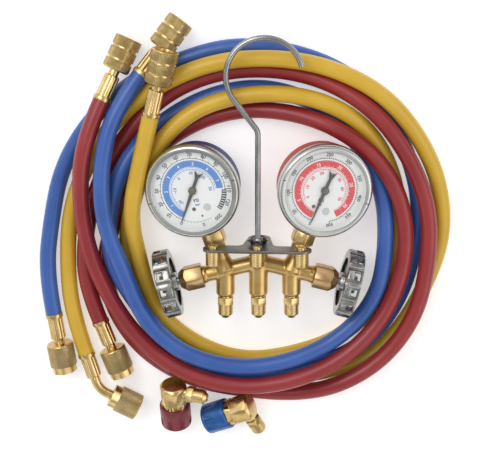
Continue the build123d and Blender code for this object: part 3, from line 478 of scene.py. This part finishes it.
def refine(frame: dict, node: str, name: str, body: str, slot: str, *finishes: Finish,
           width: float = 0.3, angle: float = 32.0, voxel: float = 0.0) -> bpy.types.Object:
    """Make a rounded copy of a CAD node, which it replaces.

    Args:
        frame: The loaded frame.
        node: CAD node to copy.
        name: Name of the new piece.
        body: Body that carries it.
        slot: Material slot of the record; not used.
        finishes: What the piece is dressed in.
        width: Width of the rounded edges in millimetres.
        angle: Edges sharper than this are rounded, in degrees.
        voxel: Where above zero, the copy is remeshed at this size and smoothed.
    """
    piece = link(name, frame["nodes"][node].data.copy())
    with editing(piece):
        bpy.ops.mesh.remove_doubles(threshold=WELD_GAP * MM)
        bpy.ops.mesh.dissolve_limited(angle_limit=math.radians(FLAT_DEGREES))
    if voxel > 0:
        apply_modifier(piece, "REMESH", mode="VOXEL", voxel_size=voxel * MM)
        apply_modifier(piece, "SMOOTH", factor=0.5, iterations=7)
        bpy.ops.object.shade_smooth()
    else:
        if width > 0:
            apply_modifier(piece, "BEVEL", width=width * MM, segments=2, limit_method="ANGLE",
                           angle_limit=math.radians(angle), use_clamp_overlap=False,
                           miter_outer="MITER_ARC")
        take(piece)
        bpy.ops.object.shade_smooth_by_angle(angle=math.radians(angle))
    settle(piece, name, body, slot, *finishes)
    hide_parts(node)
    return piece


def map_round(piece: bpy.types.Object, place: Matrix, radius: float) -> None:
    """Give a round piece a UV map in millimetres: round its axis, then along it.

    Args:
        piece: Piece to map.
        place: Frame whose Z is the piece's axis.
        radius: Radius that turns an angle into a length, in millimetres.
    """
    back = place.inverted()
    layer = piece.data.uv_layers.new(name="round")
    points = [back @ vertex.co for vertex in piece.data.vertices]
    turns = [math.atan2(point.y, point.x) for point in points]
    for face in piece.data.polygons:
        first = turns[face.vertices[0]]
        for index, corner in zip(face.vertices, face.loop_indices):
            turn = turns[index]
            if turn - first > math.pi:
                turn -= FULL_TURN
            elif first - turn > math.pi:
                turn += FULL_TURN
            layer.data[corner].uv = (turn * radius, points[index].z / MM)


def frame_matrix(origin: Vector, z_dir: Vector, x_hint: Vector) -> Matrix:
    """Frame with its origin in metres, its Z along one direction and its X near another."""
    z_axis = z_dir.normalized()
    x_axis = (x_hint - z_axis * z_axis.dot(x_hint)).normalized()
    columns = Matrix((x_axis, z_axis.cross(x_axis), z_axis)).transposed().to_4x4()
    return Matrix.Translation(origin) @ columns


def shift(x: float, y: float, z: float) -> Matrix:
    """Move by these millimetres."""
    return Matrix.Translation(Vector((x, y, z)) * MM)


def rotate(degrees: float, axis: str) -> Matrix:
    """Turn by these degrees round X, Y or Z."""
    return Matrix.Rotation(math.radians(degrees), 4, axis)


def from_corners(corners: list[tuple[float, ...]], edges: list[tuple[int, int]],
                 faces: list[tuple[int, ...]]) -> bpy.types.Object:
    """Make a piece from corners in millimetres."""
    mesh = bpy.data.meshes.new("corners")
    mesh.from_pydata([tuple(value * MM for value in corner) for corner in corners], edges, faces)
    return link("corners", mesh)


def spin(steps: int, turn: float, copies: bool = False) -> None:
    """Sweep what is selected round the Z axis, or copy it there."""
    bpy.ops.mesh.spin(steps=steps, dupli=copies, angle=turn, center=(0, 0, 0), axis=(0, 0, 1))


def lathe(profile: list[tuple[float, float]], place: Matrix, steps: int) -> bpy.types.Object:
    """Turn a profile of radii and heights in millimetres round a frame's Z axis."""
    corners = [(radius, 0.0, height) for radius, height in profile]
    edges = [(index, index + 1) for index in range(len(corners) - 1)]
    piece = from_corners(corners, edges, [])
    with editing(piece):
        spin(steps, FULL_TURN)
        bpy.ops.mesh.select_all(action="SELECT")
        bpy.ops.mesh.remove_doubles(threshold=0.01 * MM)
        bpy.ops.mesh.normals_make_consistent(inside=False)
    bpy.ops.object.shade_smooth_by_angle(angle=math.radians(38))
    piece.data.transform(place)
    return piece


def thread(place: Matrix, start: float, end: float) -> bpy.types.Object:
    """Ridges of a screw thread round a frame's Z axis, between two heights in millimetres."""
    inner, root, crest = THREAD_RADIUS - 0.5, THREAD_RADIUS - 0.06, THREAD_RADIUS + 0.2
    flank, flat = 0.12, 0.1
    profile = [(inner, start), (root, start)]
    for index in range(int((end - start) / THREAD_PITCH)):
        base = start + index * THREAD_PITCH
        middle = base + 0.5 * THREAD_PITCH
        profile += [(root, base + flank), (crest, middle - flat), (crest, middle + flat),
                    (root, base + THREAD_PITCH - flank)]
    profile += [(root, end), (inner, end), (inner, start)]
    return lathe(profile, place, THREAD_STEPS)


def join(pieces: list[bpy.types.Object]) -> bpy.types.Object:
    """Join several pieces into the first one."""
    clear_selection()
    for piece in pieces:
        piece.select_set(True)
    bpy.context.view_layer.objects.active = pieces[0]
    if len(pieces) > 1:
        bpy.ops.object.join()
    return pieces[0]


# ---------------- layout
@dataclass
class Layout:
    """Where the set's main frames lie, in millimetres and degrees."""

    middle: Point = (0.0, -14.0, 26.0)
    port_pitch: float = 25.0
    port_drop: float = 26.5
    arm_slope: float = 14.0
    gauge_lean: float = 18.5
    gauge_turn: float = 10.0
    gauge_height: float = 68.5
    ferrule_length: float = 20.5
    nipple_neck: float = 4.0
    elbow_radius: float = 17.0
    elbow_angle: float = 46.0
    elbow_lead: float = 4.0

    def centre(self) -> Vector:
        """Middle of the body in metres."""
        return Vector(self.middle) * MM

    def gauge(self, side: Side) -> Matrix:
        """Frame of a gauge's face: X across, Y up its stem, Z out of it."""
        lean, turn = math.radians(self.gauge_lean), math.radians(self.gauge_turn)
        stem = Vector((side.value * math.sin(lean), math.cos(lean), 0))
        outward = Vector((side.value * math.cos(lean), -math.sin(lean), 0))
        face = Vector((0, 0, math.cos(turn))) + outward * math.sin(turn)
        drop = self.port_pitch * math.tan(math.radians(self.arm_slope))
        foot = Vector((side.value * self.port_pitch, -drop, 0)) * MM
        origin = self.centre() + foot + stem * self.gauge_height * MM
        return frame_matrix(origin, face, stem.cross(face))

    def port(self, index: int) -> Matrix:
        """Frame of a hose port, with its origin on the port's face."""
        origin = self.centre() + Vector((index * self.port_pitch, -self.port_drop, 0)) * MM
        return frame_matrix(origin, Vector((0, -1, 0)), Vector((1, 0, 0)))

    def nut(self, name: str, far: bool) -> Matrix:
        """Frame of a hose nut, with its origin on its back face and Z out of the hose."""
        corners = route(name)
        end, inner = (corners[-1], corners[-2]) if far else (corners[0], corners[1])
        outward = Vector(end) - Vector(inner)
        seat = frame_matrix(Vector(end), outward, Vector((-outward.y, outward.x, 0)))
        if name == "yellow" and far:
            turn = math.radians(self.elbow_angle)
            side = self.elbow_radius * (1 - math.cos(turn))
            reach = self.ferrule_length + self.elbow_lead + self.elbow_radius * math.sin(turn)
            return (seat @ shift(side, 0, reach) @ rotate(self.elbow_angle, "Y")
                    @ shift(0, 0, self.elbow_lead))
        return seat @ shift(0, 0, self.ferrule_length + self.nipple_neck)


# ---------------- hoses
@dataclass
class Hose:
    """One charging hose with its ferrules, nipples and nuts."""

    name: str
    length: float
    layout: Layout
    diameter: float = 12.6
    grip_radius: float = 10.4

    def tube(self) -> bpy.types.Object:
        """Make the hose as a smooth spline over its route."""
        curve = bpy.data.curves.new("hose_line_" + self.name, "CURVE")
        curve.dimensions = "3D"
        curve.resolution_u = 8
        curve.bevel_depth = self.diameter / 2 * MM
        curve.bevel_resolution = 6
        curve.use_fill_caps = True
        corners = route(self.name)
        spline = curve.splines.new("NURBS")
        spline.points.add(len(corners) - 1)
        for point, corner in zip(spline.points, corners):
            point.co = (*corner, 1.0)
        spline.order_u = 3
        spline.use_endpoint_u = True
        spline.resolution_u = 8
        piece = link("hose_line_" + self.name, curve)
        curve.materials.append(HOSES[self.name].build())
        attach(piece, "manifold")
        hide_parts("hose_" + self.name)
        return piece

    def nut(self, frame: dict, far: bool) -> bpy.types.Object:
        """Round off a nut's edges and knurl its grips."""
        end = "far" if far else "near"
        node = f"nut_{self.name}_{end}"
        knurled, least = (BRASS_KNURLED, 10.3) if far else (BRASS_RIBBED, 9.6)
        piece = refine(frame, node, f"flare_nut_{self.name}_{end}", node, "brass",
                       BRASS_TURNED, knurled, width=0.25)
        place = self.layout.nut(self.name, far)
        map_round(piece, place, self.grip_radius)
        back = place.inverted()
        axis = place.to_3x3().col[2].normalized()
        for face in piece.data.polygons:
            spot = back @ face.center
            level = abs(face.normal.dot(axis)) < 0.3
            if level and math.hypot(spot.x, spot.y) > least * MM:
                face.material_index = 1
        return piece

    def build(self, frame: dict) -> None:
        name = self.name
        tube = self.tube()
        pieces = [refine(frame, "ferrules_" + name, "hose_ferrules_" + name, "manifold", "brass",
                         BRASS_TURNED, width=0.2)]
        for end in ("near", "far"):
            nipple = refine(frame, f"nipple_{name}_{end}", f"hose_nipple_{name}_{end}",
                            "manifold", "brass", BRASS_TURNED, width=0.0)
            pieces += [nipple, self.nut(frame, end == "far")]
        LOG.info("hose %s", name)


# ---------------- manifold
@dataclass
class Manifold:
    """Forged body, its hose ports, packing nuts and handwheels."""

    layout: Layout
    collar_end: float = 6.6
    thread_end: float = 14.8

    def build(self, frame: dict) -> None:
        """Dress the body and everything that is screwed into it."""
        refine(frame, "manifold_body", "forged_body", "manifold", "brass", BRASS, voxel=0.5)
        for index, word in ((-1, "low"), (0, "center"), (1, "high")):
            refine(frame, "port_fitting_" + word, "flare_port_" + word, "manifold", "brass",
                   BRASS_TURNED, width=0.15)
            settle(thread(self.layout.port(index), self.collar_end, self.thread_end),
                   "port_thread_" + word, "manifold", "brass", BRASS_TURNED)
        nodes = frame["nodes"]
        for word in (side.word for side in Side):
            refine(frame, "packing_nut_" + word, "gland_nut_" + word, "manifold", "brass_dark",
                   BRONZE, width=0.35)
            refine(frame, "handwheel_" + word, "cast_wheel_" + word, "valve_wheel_" + word,
                   "chrome_cast", CHROME_CAST, width=0.45, angle=28.0)
            dress(nodes["valve_stem_" + word], HOOK_STEEL)
            dress(nodes["valve_disc_" + word], BRASS_TURNED)
        dress(nodes["stem_packings"], PACKING_DARK)
        LOG.info("manifold")


@dataclass
class Hanger:
    """Plate, parking posts and the bent hook."""

    layout: Layout
    crown_height: float = 13.4
    plate_yaw: float = 3.5
    post_pitch: float = 32.6
    post_forward: float = 19.3
    thread_start: float = -10.8
    thread_end: float = -0.2

    def plate_frame(self) -> Matrix:
        """Frame of the plate: X along its bar, Z out of its outer face."""
        origin = Matrix.Translation(self.layout.centre()) @ shift(0, self.crown_height, 0)
        return origin @ rotate(-self.plate_yaw, "Y") @ rotate(-90, "X")

    def build(self, frame: dict) -> None:
        """Dress the plate, posts, locknut and hook."""
        refine(frame, "hanger_plate", "anchor_plate", "manifold", "plate_steel", PLATE_STEEL,
               width=0.25)
        refine(frame, "anchor_posts", "parking_posts", "manifold", "brass", BRASS_TURNED,
               width=0.15)
        places = [self.plate_frame() @ shift(index * self.post_pitch, -self.post_forward, 0)
                  for index in (-1, 0, 1)]
        rings = join([thread(place, self.thread_start, self.thread_end) for place in places])
        settle(rings, "post_threads", "manifold", "brass", BRASS_TURNED)
        refine(frame, "plate_locknut", "stud_locknut", "manifold", "locknut_black", LOCKNUT_DARK,
               width=0.2)
        refine(frame, "hook", "bent_hook", "hook", "hook_steel", HOOK_STEEL, width=0.2, angle=40.0)
        refine(frame, "hook_nut", "hook_cap_nut", "hook", "hook_steel", HOOK_STEEL, width=0.2)
        LOG.info("hanger")


# ---------------- gauges
@dataclass(frozen=True)
class DialScale:
    """What is printed on one dial, in millimetres and degrees clockwise from its bottom."""

    zero: float
    step: float
    values: tuple[int, ...]
    minor: int
    number_size: float
    arc_lead: float
    band_end: float
    band_values: tuple[int, ...]
    band_step: float
    inner_values: tuple[int, ...]
    inner_start: float
    inner_step: float
    ink: Finish

    @property
    def last(self) -> float:
        """Angle of the last number."""
        return self.zero + self.step * (len(self.values) - 1)


SCALES: dict[Side, DialScale] = {
    Side.LOW: DialScale(37.5, 22.33, tuple(range(0, 121, 10)), 2, 2.9, 4.0,
                        281.0, tuple(range(1, 8)), 32.4,
                        (-20, -10, 0, 10, 20, 30), 60.0, 44.0, INK_BLUE),
    Side.HIGH: DialScale(4.5, 32.83, tuple(range(0, 501, 50)), 10, 2.6, 0.0,
                         318.0, tuple(range(5, 31, 5)), 47.6,
                         (0, 10, 20, 30, 40, 50, 60, 70), 52.0, 33.0, INK_RED),
}

# Radius and height of the needle's cap, in millimetres on the gauge's axis.
CAP_PROFILE = [(0.0, 13.86), (2.2, 13.86), (2.2, 13.92), (1.5, 14.06), (0.7, 14.12), (0.0, 14.13)]


@dataclass
class Gauge:
    """One pressure gauge: case, bezel, printed dial, needle and window."""

    side: Side
    layout: Layout
    dial_level: float = 11.8
    print_height: float = 0.03
    number_radius: float = 27.2
    tick_radius: float = 24.6
    band_inner: float = 18.0
    band_outer: float = 23.0
    inner_radius: float = 16.3
    mark_size: Point = (2.6, 0.7, 0.5)
    mark_place: Point = (32.9, 0.0, 16.75)
    inks: dict[Finish, list[bpy.types.Object]] = field(default_factory=dict)

    def stamp(self, piece: bpy.types.Object, ink: Finish, level: float) -> None:
        """Give flat print its thickness, lay it on the dial and keep it with its ink.

        Args:
            piece: Flat piece in the dial's own plane.
            ink: Ink that it is printed in.
            level: Height above the dial in print layers.
        """
        with editing(piece):
            bpy.ops.mesh.remove_doubles(threshold=0.004 * MM)
            bpy.ops.mesh.normals_make_consistent(inside=False)
        if piece.data.polygons and piece.data.polygons[0].normal.z < 0:
            piece.data.flip_normals()
        apply_modifier(piece, "SOLIDIFY", thickness=self.print_height * MM, offset=1.0)
        lift = shift(0, 0, self.dial_level + self.print_height * level)
        piece.data.transform(self.layout.gauge(self.side) @ lift)
        piece.data.materials.clear()
        self.inks.setdefault(ink, []).append(piece)

    def arc(self, inner: float, outer: float, start: float, end: float, ink: Finish) -> None:
        """Print a band between two radii and two clockwise angles, in millimetres and degrees."""
        piece = from_corners([(inner, 0.0, 0.0), (outer, 0.0, 0.0)], [(0, 1)], [])
        steps = max(2, int(abs(end - start) / PRINT_STEP_DEGREES))
        with editing(piece):
            spin(steps, math.radians(end - start))
        piece.data.transform(rotate(-90 - start, "Z"))
        self.stamp(piece, ink, 0.0)

    def ticks(self, radii: tuple[float, float], width: float, start: float, step: float,
              count: int, ink: Finish, level: float = 0.0) -> None:
        """Print a row of tick marks.

        Args:
            radii: Inner and outer radius in millimetres.
            width: Width of a mark in millimetres.
            start: Angle of the first mark in degrees.
            step: Angle between marks in degrees.
            count: How many marks.
            ink: Ink of the marks.
            level: Height above the dial in print layers.
        """
        (inner, outer), half = radii, width / 2
        corners = [(inner, -half, 0.0), (outer, -half, 0.0), (outer, half, 0.0), (inner, half, 0.0)]
        piece = from_corners(corners, [], [(0, 1, 2, 3)])
        with editing(piece):
            spin(count - 1, math.radians(step * (count - 1)), copies=True)
        piece.data.transform(rotate(-90 - start, "Z"))
        self.stamp(piece, ink, level)

    def words(self, text: str, size: float, radius: float, clockwise: float, ink: Finish,
              level: float = 0.0, upright: bool = False) -> None:
        """Print a number or unit, turned with the scale unless it is upright.

        Args:
            text: What is printed.
            size: Height of the letters in millimetres.
            radius: Distance from the dial's middle in millimetres.
            clockwise: Angle from the dial's bottom in degrees.
            ink: Ink of the print.
            level: Height above the dial in print layers.
            upright: Whether the text stands level.
        """
        bpy.ops.object.text_add()
        letters = bpy.context.object.data
        letters.body = text
        letters.size = size * MM * LETTER_SCALE
        letters.align_x = "CENTER"
        letters.align_y = "CENTER"
        letters.resolution_u = 2
        letters.offset = 0.1 * MM
        bpy.ops.object.convert(target="MESH")
        piece = bpy.context.object
        turn = math.radians(-90 - clockwise)
        spot = shift(radius * math.cos(turn), radius * math.sin(turn), 0)
        piece.data.transform(spot @ rotate(0 if upright else 180 - clockwise, "Z"))
        self.stamp(piece, ink, level)

    def disc(self, x: float, y: float, radius: float, ink: Finish) -> None:
        """Print a round spot at a place across and up the dial."""
        turns = [FULL_TURN * index / SPOT_CORNERS for index in range(SPOT_CORNERS)]
        corners = [(x + radius * math.cos(turn), y + radius * math.sin(turn), 0.0)
                   for turn in turns]
        self.stamp(from_corners(corners, [], [tuple(range(SPOT_CORNERS))]), ink, 0.0)

    def print_main_scale(self, scale: DialScale) -> None:
        """Print the black outer scale with its numbers."""
        tick, numbers = self.tick_radius, self.number_radius
        self.ticks((tick, tick + 1.8), 0.5, scale.zero, scale.step, len(scale.values), INK_BLACK)
        self.ticks((tick, tick + 1.1), 0.3, scale.zero, scale.step / scale.minor,
                   (len(scale.values) - 1) * scale.minor + 1, INK_BLACK)
        for index, value in enumerate(scale.values):
            self.words(str(value), scale.number_size, numbers, scale.zero + scale.step * index,
                       INK_BLACK)
        if self.side is Side.LOW:
            self.words("250", 2.8, numbers, 334.5, INK_BLACK)
        self.arc(tick - 0.4, tick, scale.zero - scale.arc_lead, scale.last, INK_BLACK)

    def print_band(self, scale: DialScale) -> None:
        """Print the coloured band with its white numbers."""
        inner, outer = self.band_inner, self.band_outer
        self.arc(inner, outer, scale.zero + 2, scale.band_end, scale.ink)
        self.arc(inner - 0.85, inner - 0.5, scale.zero + 6, scale.band_end, scale.ink)
        for index, value in enumerate(scale.band_values, 1):
            angle = scale.zero + scale.band_step * index
            self.words(str(value), 2.5, (inner + outer) / 2 - 0.4, angle, INK_WHITE, 1.0)
        fine = scale.band_step / 10
        count = int((scale.band_end - scale.zero - 4) / fine) + 1
        self.ticks((outer - 0.75, outer), 0.16, scale.zero + 4, fine, count, INK_WHITE, 1.0)

    def print_inner_scale(self, scale: DialScale) -> None:
        """Print the inner scale and what stands in the middle of the dial."""
        radius, ink = self.inner_radius, scale.ink
        start, step = scale.inner_start, scale.inner_step
        gaps = len(scale.inner_values) - 1
        self.arc(radius - 0.35, radius, start - 8, start + step * gaps + 8, ink)
        self.ticks((radius - 1.3, radius), 0.32, start, step / 5, gaps * 5 + 1, ink)
        for index, value in enumerate(scale.inner_values):
            self.words(str(value), 2.4, radius - 3.1, start + step * index, ink)
        self.words("PSI", 2.6, 8.2, 0, INK_BLACK, upright=True)
        self.words("bar", 2.0, 11.4, 0, ink, upright=True)
        self.disc(-3.9, -14.1, 1.5, HUB_OLIVE)
        self.disc(6.3, -15.2, 3.0, INK_GREY)

    def print_extras(self, scale: DialScale) -> None:
        """Print the low side's hatched zone and vacuum scale, or the high side's fine marks."""
        tick, outer = self.tick_radius, self.band_outer
        if self.side is Side.HIGH:
            self.ticks((self.band_inner + 0.3, self.band_inner + 1.3), 0.2, scale.zero + 4,
                       scale.band_step / 5, 32, INK_WHITE, 1.0)
            return
        self.arc(outer - 1.2, outer + 2.4, scale.band_end + 3, 322.0, INK_BLACK)
        self.ticks((outer - 0.7, outer + 1.9), 0.55, scale.band_end + 6, 4.6, 8, INK_WHITE, 1.0)
        self.words("0", 2.9, self.number_radius, 1.0, INK_BLACK)
        self.ticks((tick, tick + 1.3), 0.24, -14.0, 6.0, 9, INK_GREEN)
        self.arc(tick - 0.3, tick, -14.0, scale.zero - 4, INK_GREEN)
        self.disc(0.6, -20.6, 0.8, INK_BLACK)

    def rim_marks(self) -> None:
        """Crimp marks of the bezel at both ends of its level diameter."""
        marks = []
        for turn in (0, 180):
            bpy.ops.mesh.primitive_cube_add(size=1.0)
            mark = bpy.context.object
            mark.scale = Vector(self.mark_size) * MM
            bpy.ops.object.transform_apply(location=True, rotation=True, scale=True)
            apply_modifier(mark, "BEVEL", width=0.15 * MM, segments=2)
            place = rotate(turn, "Z") @ shift(*self.mark_place)
            mark.data.transform(self.layout.gauge(self.side) @ place)
            marks.append(mark)
        settle(join(marks), "rim_marks_" + self.side.word, "manifold", "bezel_metal", LOCKNUT_DARK)

    def build(self, frame: dict) -> None:
        """Dress the gauge and print its dial."""
        word, scale = self.side.word, SCALES[self.side]
        clear_selection()
        self.print_main_scale(scale)
        self.print_band(scale)
        self.print_inner_scale(scale)
        self.print_extras(scale)
        for ink, pieces in self.inks.items():
            settle(join(pieces), f"dial_{ink.name}_{word}", "manifold", "dial_face", ink)
        refine(frame, "gauge_case_" + word, "gauge_shell_" + word, "manifold",
               "case_" + self.side.colour, CASES[self.side])
        refine(frame, "gauge_bezel_" + word, "gauge_rim_" + word, "manifold", "bezel_metal",
               BEZEL_METAL, angle=20.0)
        refine(frame, "gauge_socket_" + word, "gauge_foot_" + word, "manifold", "brass",
               BRASS_TURNED, width=0.25)
        for node, finish in (("gauge_dial_", DIAL_FACE), ("gauge_lens_", ClearGlass()),
                             ("bourdon_tube_", BRONZE), ("movement_frame_", BRASS_TURNED),
                             ("sector_gear_", BRASS_TURNED), ("needle_", NEEDLE_BLACK)):
            dress(frame["nodes"][node + word], finish)
        cap = lathe(CAP_PROFILE, self.layout.gauge(self.side), 32)
        settle(cap, "needle_cap_" + word, "needle_" + word, "needle_black", HUB_OLIVE)
        self.rim_marks()
        LOG.info("gauge %s", word)


# ---------------- couplers
@dataclass
class Coupler:
    """One quick coupler: brass body, side port and coloured sleeve."""

    side: Side
    origin: Point
    axis: Point
    clock: Point
    length: float = 40.2
    port_inset: float = 6.6
    collar_end: float = 17.1
    thread_end: float = 25.3
    grip_radius: float = 12.0

    def build(self, frame: dict) -> None:
        """Dress the coupler's body and sleeve and cut its port's thread."""
        word = self.side.word
        body = "coupler_" + word
        place = frame_matrix(Vector(self.origin), Vector(self.axis), Vector(self.clock))
        refine(frame, "coupler_body_" + word, "quick_coupler_" + word, body, "brass",
               BRASS_TURNED, width=0.35)
        sleeve = refine(frame, "coupler_sleeve_" + word, "coupler_grip_" + word, "sleeve_" + word,
                        "sleeve_" + self.side.colour, SLEEVES[self.side])
        map_round(sleeve, place, self.grip_radius)
        port = place @ shift(0, 0, self.length - self.port_inset) @ rotate(90, "Y")
        settle(thread(port, self.collar_end, self.thread_end), "coupler_thread_" + word, body,
               "brass", BRASS_TURNED)
        LOG.info("coupler %s", word)


COUPLERS = (
    Coupler(Side.LOW, (-0.0403, -0.1476, 0.0116), (0.881, 0.388, 0.27), (0.463, -0.823, -0.329)),
    Coupler(Side.HIGH, (-0.0643, -0.1498, 0.0114), (-0.039, 0.924, 0.382), (0.944, -0.09, 0.316)),
)


# ---------------- studio
@dataclass
class Studio:
    """Floor, light and camera."""

    look_down: float = 15.0
    camera_place: Point = (-0.00642, 0.29659, 1.08158)
    lens: float = 104.9
    floor_size: float = 8.0
    floor_drop: float = 0.2
    floor_tone: float = 0.78
    floor_glow: float = 0.45
    soft_light: float = 0.62
    mirror_light: float = 1.5
    side_slope: float = -0.07
    bands: tuple[tuple[float, float], ...] = (
        (0.02, 0.3), (0.5, 0.08), (0.6, 0.12), (0.68, 0.75),
        (0.76, 0.95), (0.84, 0.3), (0.93, 0.22), (0.99, 0.4))

    def build(self) -> None:
        """Set the floor, the lamps, the world and the camera."""
        scene = bpy.context.scene
        scene.view_settings.view_transform = "Standard"
        clear_selection()
        bpy.ops.mesh.primitive_plane_add(size=self.floor_size,
                                         location=(0, 0, -self.floor_drop * MM))
        floor = bpy.context.object
        floor.name = "studio_floor"
        floor.data.materials.append(new_material("floor_pale", {
            "Base Color": (*[self.floor_tone] * 3, 1.0), "Roughness": 0.9,
            "Specular IOR Level": 0.1, "Emission Color": (1.0, 1.0, 1.0, 1.0),
            "Emission Strength": self.floor_glow}))
        self.lamp("key_light", (-0.7, 0.9, 1.5), 1.1, 13.0)
        self.lamp("fill_light", (1.2, -0.3, 1.2), 1.4, 5.0)
        self.world()
        camera = link("camera", bpy.data.cameras.new("camera"))
        camera.location = self.camera_place
        camera.rotation_euler = (math.radians(-self.look_down), 0.0, 0.0)
        camera.data.lens = self.lens
        camera.data.sensor_width = 36.0
        camera.data.sensor_fit = "HORIZONTAL"
        scene.camera = camera

    def lamp(self, name: str, place: Point, size: float, power: float) -> None:
        """Hang a soft square lamp, its edge in metres and power in watts, that faces the set."""
        data = bpy.data.lights.new(name, "AREA")
        data.size = size
        data.energy = power
        lamp = link(name, data)
        lamp.location = place
        lamp.rotation_euler = (-Vector(place)).to_track_quat("-Z", "Y").to_euler()

    def world(self) -> None:
        """White surroundings, plain soft light, and bands of light and dark for reflections."""
        world = bpy.data.worlds.new("studio")
        bpy.context.scene.world = world
        world.use_nodes = True
        tree = world.node_tree
        soft = tree.nodes["Background"]
        feed(tree, soft, {"Color": (1.0, 1.0, 1.0, 1.0), "Strength": self.soft_light})
        white = add_node(tree, "Background", {"Strength": 1.0})
        place = add_node(tree, "TexCoord").outputs["Generated"]
        parts = add_node(tree, "SeparateXYZ", {"Vector": place}).outputs
        height = add_math(tree, "MULTIPLY_ADD", parts["Z"], 0.5, 0.5)
        slope = add_math(tree, "MULTIPLY_ADD", parts["X"], self.side_slope, height)
        bands = add_node(tree, "ValToRGB", {"Fac": slope})
        stops = bands.color_ramp.elements
        for position, tone in self.bands:
            stops.new(position).color = (tone, tone, tone, 1.0)
        stops.remove(stops[0])
        stops.remove(stops[-1])
        mirrored = add_node(tree, "Background", {"Color": bands, "Strength": self.mirror_light})
        rays = add_node(tree, "LightPath").outputs
        seen = add_math(tree, "MAXIMUM", rays["Is Camera Ray"], rays["Is Transmission Ray"])
        plain = add_node(tree, "MixShader", {"Fac": seen, 1: soft, 2: white})
        whole = add_node(tree, "MixShader", {"Fac": rays["Is Glossy Ray"], 1: plain, 2: mirrored})
        feed(tree, tree.nodes["World Output"], {"Surface": whole})


def main() -> None:
    """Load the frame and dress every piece."""
    logging.basicConfig(level=logging.INFO)
    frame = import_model()
    layout = Layout()
    surface_grain_group()
    edge_wear_group()
    knurl_group()
    Studio().build()
    for name, length in (("blue", 1.65), ("yellow", 1.67), ("red", 1.68)):
        Hose(name, length, layout).build(frame)
    Manifold(layout).build(frame)
    Hanger(layout).build(frame)
    for side in Side:
        Gauge(side, layout).build(frame)
    for coupler in COUPLERS:
        coupler.build(frame)


if __name__ == "__main__":
    main()
